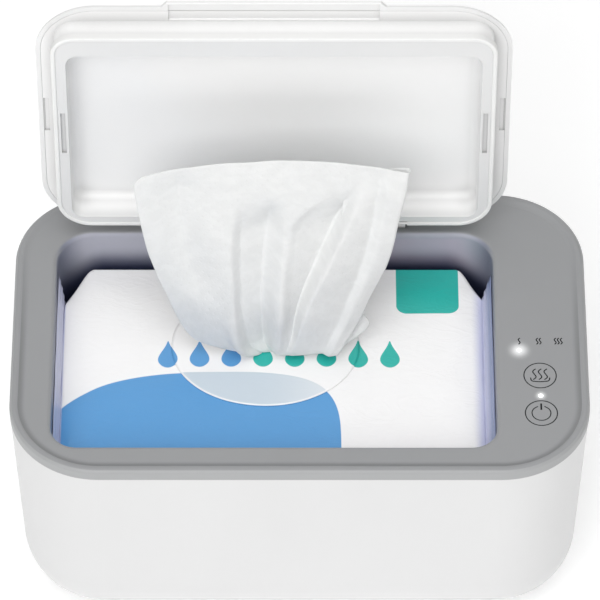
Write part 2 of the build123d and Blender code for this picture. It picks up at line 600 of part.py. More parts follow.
with BuildPart() as inlet_nut:
    with BuildSketch(inlet_plane.offset(INLET_PAD_T)):
        RegularPolygon(INLET_NUT_AF / 2, 6, major_radius=False)
        Circle(INLET_BARREL_R, mode=Mode.SUBTRACT)
    extrude(amount=INLET_NUT_H)
write(inlet_nut.part, "inlet_nut")

# ---------------------------------------------------------------- hinge pins
with BuildPart() as hinge_pins:
    for side in (-1, 1):
        start = MOUTH_X + side * (BARREL_HALF - PIN_BITE)
        pin_plane = Plane((start, HINGE_Y, DECK_Z), x_dir=(0, 1, 0), z_dir=(side, 0, 0))
        with BuildSketch(pin_plane):
            Circle(PIN_R)
        extrude(amount=PIN_L)
write(hinge_pins.part, "hinge_pins")

# ---------------------------------------------------------------- lid: finger scoop, used twice
with BuildPart() as scoop:
    with Locations((MOUTH_X, LID_FRONT - TAB_REACH + SCOOP_SET + SCOOP_W / 2, LID_EDGE_Z)):
        Box(SCOOP_L, SCOOP_W, 2 * SCOOP_DEPTH)
    fillet(scoop.edges().group_by(Axis.Z)[-1], SCOOP_FILLET)

# ---------------------------------------------------------------- lid cover
with BuildPart() as lid_cover:
    add(lid_block(0))
    shoulder_edge = lid_cover.edges().filter_by(
        lambda e: abs(e.center().Z - LID_EDGE_Z - LID_EDGE_H) < SLIP)
    fillet(shoulder_edge, LID_SHOULDER_FILLET)
    add(lid_block(LID_WALL), mode=Mode.SUBTRACT)
    # finger tab
    with BuildSketch(Plane.XY.offset(LID_EDGE_Z)):
        with BuildLine():
            Polyline((MOUTH_X - TAB_BASE / 2, LID_FRONT + LID_WALL / 2),
                     (MOUTH_X - TAB_TIP / 2, LID_FRONT - TAB_REACH),
                     (MOUTH_X + TAB_TIP / 2, LID_FRONT - TAB_REACH),
                     (MOUTH_X + TAB_BASE / 2, LID_FRONT + LID_WALL / 2), close=True)
        make_face()
    extrude(amount=LID_EDGE_H)
    tab_edges = lid_cover.edges().filter_by(Axis.X).group_by(Axis.Y)[0]
    fillet(tab_edges, TAB_FILLET)
    add(scoop.part, mode=Mode.SUBTRACT)
    # cut-out round the hinge in the back edge
    hinge_plane = Plane((MOUTH_X - HINGE_SPAN / 2, HINGE_Y, DECK_Z), x_dir=(0, 1, 0),
                        z_dir=(1, 0, 0))
    with BuildSketch(hinge_plane):
        Circle(NOTCH_R)
    extrude(amount=HINGE_SPAN, mode=Mode.SUBTRACT)
write(swung_open(lid_cover.part), "lid_cover")

# ---------------------------------------------------------------- lid liner
with BuildPart() as lid_liner:
    # plate inside the cover's edge
    plate_inset = LID_WALL + LINER_GAP
    add(lid_block(plate_inset))
    split(bisect_by=Plane.XY.offset(LID_EDGE_Z + LINER_PLATE), keep=Keep.BOTTOM)
    # plug, from the plate down to the band
    with BuildSketch(Plane.XY.offset(BAND_Z)):
        plug_outline(ROOT_INSET)
    extrude(amount=LID_EDGE_Z + LINER_PLATE / 2 - BAND_Z)
    # walls of the pan
    pan_w = SEAL_OUT_W - 2 * BAND_SIDE
    pan_d = SEAL_OUT_D - BAND_FRONT - BAND_BACK
    pan_at = (MOUTH_X, MOUTH_Y + (BAND_FRONT - BAND_BACK) / 2)
    with BuildSketch(Plane.XY.offset(BAND_Z)):
        with Locations(pan_at):
            RectangleRounded(pan_w + 2 * PAN_WALL, pan_d + 2 * PAN_WALL, PAN_R + PAN_WALL)
    extrude(amount=PAN_DEPTH + PAN_WALL)
    with BuildPart(mode=Mode.PRIVATE) as pan_inside:
        with BuildSketch(Plane.XY.offset(BAND_Z)):
            with Locations(pan_at):
                RectangleRounded(pan_w, pan_d, PAN_R)
        extrude(amount=PAN_DEPTH, taper=PAN_TAPER)
        fillet(pan_inside.edges().group_by(Axis.Z)[-1], PAN_FILLET)
    add(pan_inside.part, mode=Mode.SUBTRACT)
    # core-out behind the wide front band
    with BuildSketch(Plane.XY.offset(BAND_Z + PAN_WALL)):
        with Locations((MOUTH_X, MOUTH_FRONT + MOUTH_CLEARANCE + ROOT_INSET + BAND_FRONT / 2)):
            Rectangle(pan_w, BAND_FRONT - ROOT_INSET - 2 * PAN_WALL)
    extrude(amount=PAN_DEPTH, mode=Mode.SUBTRACT)
    # rabbet for the seal round the end of the plug
    with BuildSketch(Plane.XY.offset(SEAL_Z)):
        mouth_outline(0)
        plug_outline(SEAL_W, mode=Mode.SUBTRACT)
    extrude(amount=SEAL_H, mode=Mode.SUBTRACT)
    # room for the fixed barrel, then the knuckles and their webs
    with BuildSketch(Plane.XY.offset(SEAL_Z)):
        with Locations((MOUTH_X, HINGE_Y)):
            Rectangle(HINGE_SPAN, 2 * (HINGE_R + HINGE_CLEARANCE))
    extrude(amount=PLUG_DEPTH + LID_H, mode=Mode.SUBTRACT)
    knuckle_x = BARREL_HALF + HINGE_CLEARANCE + KNUCKLE_L / 2
    web_front = MOUTH_BACK - MOUTH_CLEARANCE - ROOT_INSET - PAN_WALL
    with BuildSketch(Plane.XY.offset(LID_EDGE_Z)):
        with Locations((MOUTH_X, (web_front + HINGE_Y) / 2)):
            with GridLocations(2 * knuckle_x, 0, 2, 1):
                Rectangle(KNUCKLE_L, HINGE_Y - web_front)
    extrude(amount=LINER_PLATE)
    for side in (-1, 1):
        near = MOUTH_X + side * (BARREL_HALF + HINGE_CLEARANCE)
        knuckle_plane = Plane((near, HINGE_Y, DECK_Z), x_dir=(0, 1, 0), z_dir=(side, 0, 0))
        with BuildSketch(knuckle_plane):
            Circle(HINGE_R)
        extrude(amount=KNUCKLE_L)
        with BuildSketch(knuckle_plane):
            Circle(PIN_R + RUNNING)
        extrude(amount=KNUCKLE_L, mode=Mode.SUBTRACT)
    # relief in the plug's back edge along the hinge
    relief_y = MOUTH_BACK - MOUTH_CLEARANCE - ROOT_INSET
    with BuildSketch(Plane.XY.offset(BAND_Z)):
        with Locations((MOUTH_X, relief_y)):
            Rectangle(HINGE_SPAN, 2 * RELIEF)
    extrude(amount=RELIEF_H, mode=Mode.SUBTRACT)
    # clip slots in the side bands and clip windows along the edge
    slot_x = SEAL_OUT_W / 2 - (BAND_SIDE + SEAL_W) / 2
    with BuildSketch(Plane.XY.offset(BAND_Z)):
        with Locations(MOUTH):
            with GridLocations(2 * slot_x, 0, 2, 1):
                Rectangle(SLOT_W, SLOT_L)
    extrude(amount=SLOT_DEPTH, mode=Mode.SUBTRACT)
    with BuildSketch(Plane.XY.offset(LID_EDGE_Z)):
        with Locations(MOUTH):
            with GridLocations(LID_W - 2 * plate_inset - CLIP_W, 0, 2, 1):
                Rectangle(CLIP_W, CLIP_L)
    extrude(amount=CLIP_DEPTH, mode=Mode.SUBTRACT)
    add(scoop.part, mode=Mode.SUBTRACT)
write(swung_open(lid_liner.part), "lid_liner")

# ---------------------------------------------------------------- lid seal
with BuildPart() as lid_seal:
    with BuildSketch(Plane.XY.offset(SEAL_Z)):
        plug_outline(0)
        plug_outline(SEAL_W, mode=Mode.SUBTRACT)
    extrude(amount=SEAL_H)
    fillet(lid_seal.edges().group_by(Axis.Z)[0], SEAL_W / 3)
    with BuildSketch(Plane.XY.offset(SEAL_Z)):
        with Locations((MOUTH_X, MOUTH_BACK - MOUTH_CLEARANCE)):
            Rectangle(HINGE_SPAN, 2 * RELIEF)
    extrude(amount=SEAL_H, mode=Mode.SUBTRACT)
write(swung_open(lid_seal.part), "lid_seal")

# ---------------------------------------------------------------- the load: pack, flap, wipe
with BuildPart() as pack:
    left, right = MOUTH_X - MOUTH_W / 2 + PACK_SIDE_GAP, MOUTH_X + MOUTH_W / 2 - PACK_SIDE_GAP
    front, back = MOUTH_FRONT + PACK_FRONT_GAP, MOUTH_BACK - PACK_BACK_GAP
    with BuildSketch(Plane.XY.offset(TANK_FLOOR_Z)) as pack_outline:
        with BuildLine():
            Polyline((left, front), (right, front), (right, back - PACK_CUT_Y),
                     (right - PACK_CUT_X, back), (left + PACK_CUT_X, back),
                     (left, back - PACK_CUT_Y), close=True)
        make_face()
        fillet(pack_outline.vertices(), PACK_R)
    extrude(amount=PACK_TOP_Z - TANK_FLOOR_Z)
    fillet(pack.edges().group_by(Axis.Z)[0], PACK_FLOOR_FILLET)
    fillet(pack.edges().group_by(Axis.Z)[-1], PACK_TOP_FILLET)
write(pack.part, "wipes_pack")

with BuildPart() as flap:
    with BuildSketch(Plane.XY.offset(PACK_TOP_Z)):
        with Locations((MOUTH_X + FLAP_SHIFT_X, MOUTH_Y + FLAP_SHIFT_Y)):
            Ellipse(FLAP_RX, FLAP_RY)
    extrude(amount=FLAP_H)
write(flap.part, "pack_flap")

wipe_sink = WIPE_THICKNESS / 2 * sin(radians(WIPE_LEAN))  # its lower corner below its middle
wipe_plane = Plane((MOUTH_X + WIPE_SHIFT_X, MOUTH_Y + WIPE_SHIFT_Y,
                    PACK_TOP_Z + FLAP_H + SOFT_GAP + wipe_sink),
                   x_dir=(1, 0, 0), z_dir=(0, -1, 0)).rotated((-WIPE_LEAN, 0, 0))
with BuildPart() as wipe:
    with BuildSketch(wipe_plane) as wipe_outline:
        with BuildLine():
            Polyline((-WIPE_BASE / 2, 0), (WIPE_BASE / 2, 0), (WIPE_TOP / 2, WIPE_LENGTH),
                     (-WIPE_TOP / 2, WIPE_LENGTH), close=True)
        make_face()
    extrude(amount=WIPE_THICKNESS / 2, both=True)
write(wipe.part, "pulled_wipe")
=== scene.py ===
"""Looks of a baby wipe warmer: moulded shells, a printed control land, a film pack and its wipe.

Metres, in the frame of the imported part.  The rigid parts keep their own meshes and get finishes
here; the film pack, its peel flap and the pulled wipe are soft pieces made here.
"""

import math

import bmesh
import bpy
from mathutils import Matrix, Vector, noise
from mathutils.bvhtree import BVHTree


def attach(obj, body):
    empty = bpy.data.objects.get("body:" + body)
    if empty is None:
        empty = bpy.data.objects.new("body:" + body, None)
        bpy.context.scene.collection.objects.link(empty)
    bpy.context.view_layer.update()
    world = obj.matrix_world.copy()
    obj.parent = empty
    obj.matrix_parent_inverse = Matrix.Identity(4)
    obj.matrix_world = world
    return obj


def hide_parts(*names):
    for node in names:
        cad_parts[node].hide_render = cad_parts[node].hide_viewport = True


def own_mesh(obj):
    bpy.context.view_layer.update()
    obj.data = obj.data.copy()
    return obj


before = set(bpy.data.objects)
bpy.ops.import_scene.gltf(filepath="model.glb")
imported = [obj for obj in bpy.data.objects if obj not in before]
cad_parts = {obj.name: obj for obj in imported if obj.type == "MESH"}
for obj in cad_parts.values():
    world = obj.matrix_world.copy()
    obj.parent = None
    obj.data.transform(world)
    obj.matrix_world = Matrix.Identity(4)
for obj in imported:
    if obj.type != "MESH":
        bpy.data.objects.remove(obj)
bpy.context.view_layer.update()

MM = 0.001
noise.seed_set(7)  # so the film and the cloth come out the same each time

# ---------------------------------------------------------------- places on the warmer, in mm
DECK_Z = 122.0
MOUTH_X = (-113.8, 90.4)
MOUTH_CENTRE, MOUTH_HALF = (-11.7, -4.2), (102.1, 64.4)
MOUTH_ROUND = 4.0  # less than its corners have, so that their walls count as inside
DECK_HALF, DECK_ROUND = (133.25, 85.0), 41.5
DECK_CREASE = 3.9  # from the deck's edge in to the foot of its rim
LINER_FACE_Y = 58.0  # just behind the margin of the open lid's lining
PACK_TOP_Z = 103.5

HEAT_KEY, POWER_KEY = (110.8, -26.9), (110.8, -49.4)
LEVEL_SIGNS = [(101.7, -6.1), (110.7, -6.1), (119.8, -6.1)]
LEVEL_LIGHT, POWER_LIGHT = (101.5, -11.6), (110.8, -39.0)

FLAP_CENTRE, FLAP_RADII = (-16.0, 6.0), (44.0, 36.5)

# ---------------------------------------------------------------- colours, linear
BLACK = (0, 0, 0, 1)
WHITE = (1, 1, 1, 1)
# painted shade: the body gets a darker copy of the white that the lid's shell has
SHADED_BODY_WHITE = (0.70, 0.70, 0.70, 1)
WHITE_SHELL = (0.86, 0.86, 0.857, 1)
# painted light and shade: the lining's margin and its pan are two copies of one white, set apart in
# brightness
SHADED_LINER_WHITE = (0.775, 0.775, 0.771, 1)
LIT_PAN_WHITE = (0.93, 0.928, 0.923, 1)
WHITE_SILICONE = (0.86, 0.86, 0.85, 1)
DECK_GREY = (0.31, 0.315, 0.322, 1)
# painted light: the deck's skirt and outer edge, lighter than its top
LIT_SKIRT_GREY = (0.37, 0.375, 0.38, 1)
# painted shade on the grey walls of the mouth: bluish lavender, dimmer at the sides, navy deep down
PAINTED_WALL_LAVENDER = (0.465, 0.47, 0.54, 1)
WALL_PAINTED_WARM = (0.55, 0.485, 0.58, 1)  # painted warm tone beside the teal tile, offsetting the teal light that the tile throws on the wall
WALL_SHADE = (0.15, 0.165, 0.23, 1)
PAINTED_WALL_NAVY = (0.04, 0.048, 0.10, 1)
BLACK_RUBBER = (0.018, 0.018, 0.019, 1)
BLACK_PLASTIC = (0.02, 0.02, 0.022, 1)
STEEL = (0.56, 0.56, 0.57, 1)
BRASS = (0.62, 0.43, 0.16, 1)
AMBER_FILM, HEATER_TRACK = (0.33, 0.12, 0.012, 1), (0.55, 0.5, 0.42, 1)
FOAM_CELL = (0.06, 0.06, 0.065, 1)
FOAM_DARK, FOAM_LIGHT = (0.10, 0.10, 0.105, 1), (0.17, 0.17, 0.175, 1)
SOLDER_MASK, MASKED_TRACK = (0.008, 0.10, 0.035, 1), (0.02, 0.20, 0.06, 1)
TINNED_PAD = (0.62, 0.62, 0.6, 1)
GUIDE_HAZE, GUIDE_CLEAR = (0.82, 0.86, 0.9, 1), (0.95, 0.97, 1, 1)
INK, WORN_INK = (0.004, 0.004, 0.005, 1), (0.02, 0.02, 0.022, 1)
FILM_WHITE = (0.945, 0.94, 0.94, 1)
FILM_BLUE = (0.098, 0.335, 0.67, 1)
FILM_TEAL = (0.018, 0.46, 0.40, 1)
# painted shade on the film's folded ends and sides, bluish like the walls round them
FILM_PAINTED_LAVENDER = (0.60, 0.62, 0.80, 1)
FILM_SHADE = (0.28, 0.33, 0.52, 1)
FLAP_TINT = (0.60, 0.68, 0.75, 1)
WIPE_WHITE, WIPE_CLUMPS = (0.765, 0.77, 0.765, 1), (0.80, 0.805, 0.80, 1)
FLOOR_TONES = (0.94, 0.94, 0.94, 1), (0.96, 0.96, 0.96, 1)


# ---------------------------------------------------------------- shader nodes
NOISE_SPREAD = (0.3, 0.7)  # most of a noise lies between these


class Nodes:
    """A node tree, with short ways to add its nodes."""

    def __init__(self, tree):
        self.tree = tree

    def add(self, kind, inputs=None, **settings):
        """A shader node; each input is a value, or an output socket that is linked to it."""
        node = self.tree.nodes.new("ShaderNode" + kind)
        for name, value in settings.items():
            setattr(node, name, value)
        for name, value in (inputs or {}).items():
            if isinstance(value, bpy.types.NodeSocket):
                self.tree.links.new(value, node.inputs[name])
            else:
                node.inputs[name].default_value = value
        return node

    def math(self, operation, *values):
        return self.add("Math", dict(enumerate(values)), operation=operation).outputs[0]

    def vector(self, operation, *values):
        return self.add("VectorMath", dict(enumerate(values)), operation=operation)

    def colour(self, factor, first, second):
        """The first colour where the factor is zero, the second where it is one."""
        mix = self.add("Mix", {0: factor, 6: first, 7: second}, data_type="RGBA")
        return mix.outputs[2]

    def step(self, value, low, high, start=0.0, end=1.0):
        """Goes smoothly from start at low to end at high, and stays there."""
        node = self.add("MapRange", {"Value": value, "From Min": low, "From Max": high,
                                     "To Min": start, "To Max": end},
                        interpolation_type="SMOOTHSTEP")
        return node.outputs[0]

    def noise(self, vector, scale, detail=2.0, distortion=0.0):
        node = self.add("TexNoise", {"Vector": vector, "Scale": scale, "Detail": detail,
                                     "Distortion": distortion})
        return node.outputs[0]

    def place(self):
        """The point on the piece, in metres."""
        return self.add("TexCoord").outputs["Object"]

    def split(self, vector):
        parts = self.add("SeparateXYZ", {"Vector": vector}).outputs
        return parts[0], parts[1], parts[2]

    def stretch(self, vector, scale):
        return self.vector("MULTIPLY", vector, scale).outputs[0]

    def in_mm(self, place):
        """The x, y and z of a point, in mm."""
        return self.split(self.stretch(place, (1 / MM, 1 / MM, 1 / MM)))

    def squares(self, first, second):
        """The sum of two squares."""
        return self.math("ADD", self.math("MULTIPLY", first, first),
                         self.math("MULTIPLY", second, second))

    def length(self, first, second):
        return self.math("SQRT", self.squares(first, second))

    def dim(self, colour, share):
        """A colour times a value, both from sockets."""
        return self.add("VectorMath", {0: colour, "Scale": share}, operation="SCALE").outputs[0]


def outside_box(made, point, centre, half, round_by):
    """How far a point is outside a rounded rectangle; less than zero inside it."""
    reach = [made.math("SUBTRACT", made.math("ABSOLUTE", made.math("SUBTRACT", value, middle)),
                       size - round_by) for value, middle, size in zip(point, centre, half)]
    away = made.length(*[made.math("MAXIMUM", value, 0.0) for value in reach])
    within = made.math("MINIMUM", made.math("MAXIMUM", *reach), 0.0)
    return made.math("SUBTRACT", made.math("ADD", away, within), round_by)


def effect(name, inputs, outputs):
    """An empty shared effect with named sockets: its nodes, its input and its output node."""
    tree = bpy.data.node_groups.new(name, "ShaderNodeTree")
    for side, sockets in (("INPUT", inputs), ("OUTPUT", outputs)):
        for socket, kind in sockets.items():
            tree.interface.new_socket(name=socket, in_out=side, socket_type="NodeSocket" + kind)
    return Nodes(tree), tree.nodes.new("NodeGroupInput"), tree.nodes.new("NodeGroupOutput")


def put_out(made, output, **sockets):
    """Links what an effect makes to its output node."""
    for name, value in sockets.items():
        made.tree.links.new(value, output.inputs[name])


CREVICE_SHADE = 0.55  # painted shade: what is left of the tone in the bottom of a seam
HANDLING_MARKS = 0.07  # most that handling adds to the roughness


def moulded_effect():
    """Injection-moulded plastic: faint flow marks, spark-eroded grain, light handling marks and
    painted shade in its seams.
    """
    made, given, out = effect("moulded", {"Vector": "Vector", "Tone": "Color", "Gloss": "Float",
                                          "Grain": "Float", "Reach": "Float"},
                              {"Color": "Color", "Roughness": "Float", "Height": "Float"})
    place = given.outputs["Vector"]
    flow = made.noise(made.stretch(place, (1.0, 1.0, 0.4)), 9.0, detail=3.0, distortion=0.6)
    shade = made.step(flow, *NOISE_SPREAD, 0.985, 1.01)
    reach = made.math("MULTIPLY", given.outputs["Reach"], MM)
    # painted shade: the tone darkens where ambient occlusion finds walls close by
    hidden = made.add("AmbientOcclusion", {"Distance": reach}, samples=8)
    painted_crevice_shade = made.step(hidden.outputs["AO"], 0.05, 0.92, CREVICE_SHADE, 1.0)
    tone = made.dim(given.outputs["Tone"], made.math("MULTIPLY", shade, painted_crevice_shade))
    handled = made.step(made.noise(place, 45.0, detail=6.0, distortion=1.0), 0.5, 0.8,
                        0.0, HANDLING_MARKS)
    rough = made.math("ADD", given.outputs["Gloss"], handled)
    grain = made.math("MULTIPLY", made.noise(place, 2400.0), given.outputs["Grain"])
    put_out(made, out, Color=tone, Roughness=rough, Height=grain)
    return made.tree


def brushed_effect():
    """Turned or brushed metal: fine streaks round the axis and a little tarnish."""
    made, given, out = effect("brushed", {"Vector": "Vector", "Tone": "Color", "Gloss": "Float"},
                              {"Color": "Color", "Roughness": "Float", "Height": "Float"})
    place = given.outputs["Vector"]
    streaks = made.noise(made.stretch(place, (0.08, 1.0, 1.0)), 2600.0, detail=3.0)
    tarnish = made.step(made.noise(place, 260.0, detail=4.0), 0.45, 0.75, 1.0, 0.82)
    tone = made.dim(given.outputs["Tone"], tarnish)
    rough = made.math("ADD", given.outputs["Gloss"], made.step(streaks, *NOISE_SPREAD, 0.0, 0.12))
    put_out(made, out, Color=tone, Roughness=rough, Height=streaks)
    return made.tree


CREASE_SHARPNESS, CREASE_SHARE = 6.0, 0.16  # creases of a film, against its slack waves


def creased_effect():
    """Thin film: slack waves, and creases that run in from the ends."""
    made, given, out = effect("creased", {"Vector": "Vector", "Depth": "Float"},
                              {"Height": "Float"})
    place = given.outputs["Vector"]
    slack = made.noise(made.stretch(place, (1.0, 0.55, 1.0)), 34.0, distortion=0.8)
    sharp = made.noise(made.stretch(place, (0.5, 1.0, 1.4)), 95.0, detail=3.0, distortion=1.6)
    off_middle = made.math("SUBTRACT", made.math("MULTIPLY", sharp, 2.0), 1.0)
    ridge = made.math("SUBTRACT", 1.0, made.math("ABSOLUTE", off_middle))
    ridge = made.math("POWER", ridge, CREASE_SHARPNESS)
    height = made.math("ADD", slack, made.math("MULTIPLY", ridge, CREASE_SHARE))
    put_out(made, out, Height=made.math("MULTIPLY", height, given.outputs["Depth"]))
    return made.tree


# the print on the pack, in mm
WAVE_PLACE = (-45.0, -60.0)
WAVE_LEFT, WAVE_RIGHT = ((77.6, 50.0), 2.2), ((64.2, 50.0), 4.0)  # half its size, how square
TILE_PLACE, TILE_HALF, TILE_ROUND = (60.1, 46.2), (14.7, 20.0), 5.0
DROP_ROW_X, FIRST_DROP_X, DROP_PITCH = (-69.0, 51.0), -61.5, 14.8
DROP_Y, DROP_HALF_HEIGHT = 1.2, 8.0
DROP_FOOT, DROP_TIP = (-6.0, 5.4), (8.5, 0.9)  # height over its middle, half width there
TEAL_DROPS_X = -24.0  # the drops are teal from here on


def printed_effect():
    """The print on the pack: a plain blue field, a plain teal tile and a row of drops."""
    made, given, out = effect("printed", {"Vector": "Vector", "Film": "Color"},
                              {"Color": "Color", "Ink": "Float"})
    x, y, _ = made.in_mm(given.outputs["Vector"])

    def wave_part(half, power):
        """One inside a rounded shape that is 2 half wide and high, and zero outside it."""
        parts = [made.math("POWER", made.math("ABSOLUTE", made.math(
            "DIVIDE", made.math("SUBTRACT", value, middle), size)), power)
            for value, middle, size in zip((x, y), WAVE_PLACE, half)]
        return made.step(made.math("ADD", *parts), 1.012, 0.988)

    at_left = made.math("LESS_THAN", x, WAVE_PLACE[0])
    at_right = made.math("SUBTRACT", 1.0, at_left)
    wave = made.math("ADD", made.math("MULTIPLY", wave_part(*WAVE_LEFT), at_left),
                     made.math("MULTIPLY", wave_part(*WAVE_RIGHT), at_right))
    tile = made.step(outside_box(made, (x, y), TILE_PLACE, TILE_HALF, TILE_ROUND), 0.1, -0.1)

    along = made.math("WRAP", made.math("SUBTRACT", x, FIRST_DROP_X),
                      DROP_PITCH / 2, -DROP_PITCH / 2)
    up = made.math("SUBTRACT", y, DROP_Y)
    half_width = made.step(up, DROP_FOOT[0], DROP_TIP[0], DROP_FOOT[1], DROP_TIP[1])
    drop = made.squares(made.math("DIVIDE", along, half_width),
                        made.math("DIVIDE", up, DROP_HALF_HEIGHT))
    in_row = made.math("MULTIPLY", made.math("GREATER_THAN", x, DROP_ROW_X[0]),
                       made.math("LESS_THAN", x, DROP_ROW_X[1]))
    drops = made.math("MULTIPLY", made.step(drop, 1.08, 0.95), in_row)
    drop_ink = made.colour(made.math("GREATER_THAN", x, TEAL_DROPS_X), FILM_BLUE, FILM_TEAL)

    colour = made.colour(wave, given.outputs["Film"], FILM_BLUE)
    colour = made.colour(tile, colour, FILM_TEAL)
    colour = made.colour(drops, colour, drop_ink)
    ink = made.math("MAXIMUM", made.math("MAXIMUM", wave, tile), drops)
    put_out(made, out, Color=colour, Ink=ink)
    return made.tree


MOULDED, BRUSHED = moulded_effect(), brushed_effect()
CREASED, PRINTED = creased_effect(), printed_effect()


# ---------------------------------------------------------------- finishes
def finish(name, plain):
    """A new material: its nodes and its Principled shader, with the plain values set on it."""
    material = bpy.data.materials.new(name)
    material.use_nodes = True
    made = Nodes(material.node_tree)
    shader = material.node_tree.nodes["Principled BSDF"]
    for socket, value in plain.items():
        shader.inputs[socket].default_value = value
    return material, made, shader


def use(made, group, **inputs):
    """Places a shared effect in a material; gives its outputs."""
    return made.add("Group", inputs, node_tree=group).outputs


def feed(made, shader, **sockets):
    """Links sockets of the shader, written with _ for a space."""
    for name, value in sockets.items():
        made.tree.links.new(value, shader.inputs[name.replace("_", " ")])


def bump(made, shader, height, depth, strength=1.0):
    """Raises the surface by a height times a depth in mm."""
    node = made.add("Bump", {"Height": height, "Distance": depth * MM, "Strength": strength})
    made.tree.links.new(node.outputs[0], shader.inputs["Normal"])


GRAIN_DEPTH = 0.05  # of moulded plastic, in mm
WALL_REACH = 6.0  # how far, in mm, a wall nearby casts painted shade on moulded plastic


def moulded_skin(made, shader, tone, gloss, grain, reach=WALL_REACH, depth=GRAIN_DEPTH):
    """Covers a shader with the moulded effect, in one tone or in one that a socket gives."""
    skin = use(made, MOULDED, Vector=made.place(), Tone=tone, Gloss=gloss, Grain=grain,
               Reach=reach)
    feed(made, shader, Base_Color=skin["Color"], Roughness=skin["Roughness"])
    bump(made, shader, skin["Height"], depth)


def moulded_plastic(name, tone, gloss, grain, reach=WALL_REACH):
    material, made, shader = finish(name, {})
    moulded_skin(made, shader, tone, gloss, grain, reach)
    return material


def rubber(name, tone):
    material, made, shader = finish(name, {})
    moulded_skin(made, shader, tone, gloss=0.72, grain=1.6, reach=8.0, depth=0.08)
    return material


def turned_metal(name, tone, gloss):
    material, made, shader = finish(name, {"Metallic": 1.0})
    skin = use(made, BRUSHED, Vector=made.place(), Tone=tone, Gloss=gloss)
    feed(made, shader, Base_Color=skin["Color"], Roughness=skin["Roughness"])
    bump(made, shader, skin["Height"], 0.02, strength=0.6)
    return material


WALL_NAVY_Z = (DECK_Z - 8.0, PACK_TOP_Z - 7.0)  # the walls turn to a painted navy shadow between these,
CORNERS_AWAY, CORNER_DROP = (80.0, 97.0), 8.0  # and this much lower in the mouth's corners
SIDES_AWAY, SIDE_SHADE = (88.0, 103.0), 0.85  # this far from its middle they get painted shade
BY_TILE_X = ((10.0, 50.0), (86.0, 70.0))  # over these the painted warm tone comes in, from either side
BY_TILE_Z = (DECK_Z - 1.0, DECK_Z - 5.0)


def mouth_wall(made, x, z):
    """Painted light and shade on the walls round the pack: bluish lavender, a navy painted shadow
    beside the pack, painted shade at both sides.
    """
    away = made.math("ABSOLUTE", made.math("SUBTRACT", x, MOUTH_CENTRE[0]))
    raised = made.math("ADD", z, made.step(away, *CORNERS_AWAY, 0.0, CORNER_DROP))
    by_tile = made.math("MULTIPLY", *[made.step(x, *side) for side in BY_TILE_X])
    by_tile = made.math("MULTIPLY", by_tile, made.step(z, *BY_TILE_Z))
    tone = made.colour(by_tile, PAINTED_WALL_LAVENDER, WALL_PAINTED_WARM)
    tone = made.colour(made.step(away, *SIDES_AWAY, 0.0, SIDE_SHADE), tone, WALL_SHADE)
    return made.colour(made.step(raised, *WALL_NAVY_Z), tone, PAINTED_WALL_NAVY)


CREASE_SHADE, CREASE_SHADE_Y = (0.30, 0.02), (-20.0, 60.0)  # painted shade in the crease, which fades towards the back
CREASE_EDGE, CREASE_WIDTH = 0.3, 3.6
SKIRT_INSET, SKIRT_Z = (1.3, 0.8), (DECK_Z - 0.2, DECK_Z - 1.0)  # the top becomes the skirt, which gets painted light
WALL_Z, BACK_LIP_Z = (DECK_Z - 0.3, DECK_Z - 3.0), (DECK_Z - 0.05, DECK_Z - 0.8)
BACK_LIP_Y = (44.0, 56.0)  # from here on the lip at the back takes the wall's tone, as a painted highlight
LIP_WIDTHS = (1.0, 3.0)  # of the lip that counts as wall, round the mouth and at its back
LIGHTS = ((LEVEL_LIGHT, 7.8), (POWER_LIGHT, 4.2))  # each with how far its halo reaches
LIGHT_CORE, HALO_SHARE, GLOW_STRENGTH = 1.25, 0.30, 2.2


def deck_tone(made, inset, y, z):
    """Grey of the deck, with painted light on its skirt and outer edge and painted shade in the
    crease inside its rim.
    """
    skirt = made.math("MAXIMUM", made.step(z, *SKIRT_Z), made.step(inset, *SKIRT_INSET))
    # painted shade in the crease at the foot of the rim
    crease = made.math("MULTIPLY",
                       made.step(inset, DECK_CREASE + CREASE_WIDTH, DECK_CREASE + CREASE_EDGE),
                       made.step(inset, DECK_CREASE - CREASE_EDGE, DECK_CREASE))
    shade = made.math("MULTIPLY", crease, made.step(y, *CREASE_SHADE_Y, *CREASE_SHADE))
    return made.colour(shade, made.colour(skirt, DECK_GREY, LIT_SKIRT_GREY), BLACK)


def inside_mouth(made, x, y, z):
    """One on the walls of the mouth and on the painted highlight along its back lip, zero on the
    deck round it.
    """
    lit_back_lip = made.math("MULTIPLY", made.step(y, *BACK_LIP_Y), made.step(z, *BACK_LIP_Z))
    depth = made.math("MAXIMUM", made.step(z, *WALL_Z), lit_back_lip)
    out = outside_box(made, (x, y), MOUTH_CENTRE, MOUTH_HALF, MOUTH_ROUND)
    inside = made.math("LESS_THAN", out, made.step(y, *BACK_LIP_Y, *LIP_WIDTHS))
    return made.math("MULTIPLY", depth, inside)


def lamp_glow(made, place, centre, halo):
    """How brightly a light shines through the deck: a full core with a soft halo."""
    away = made.vector("DISTANCE", place, (centre[0] * MM, centre[1] * MM, DECK_Z * MM))
    away = made.math("DIVIDE", away.outputs["Value"], MM)
    core = made.step(away, LIGHT_CORE, LIGHT_CORE / 2)
    soft = made.math("POWER", made.step(away, halo, 0.0), 2.0)
    return made.math("ADD", core, made.math("MULTIPLY", soft, HALO_SHARE))


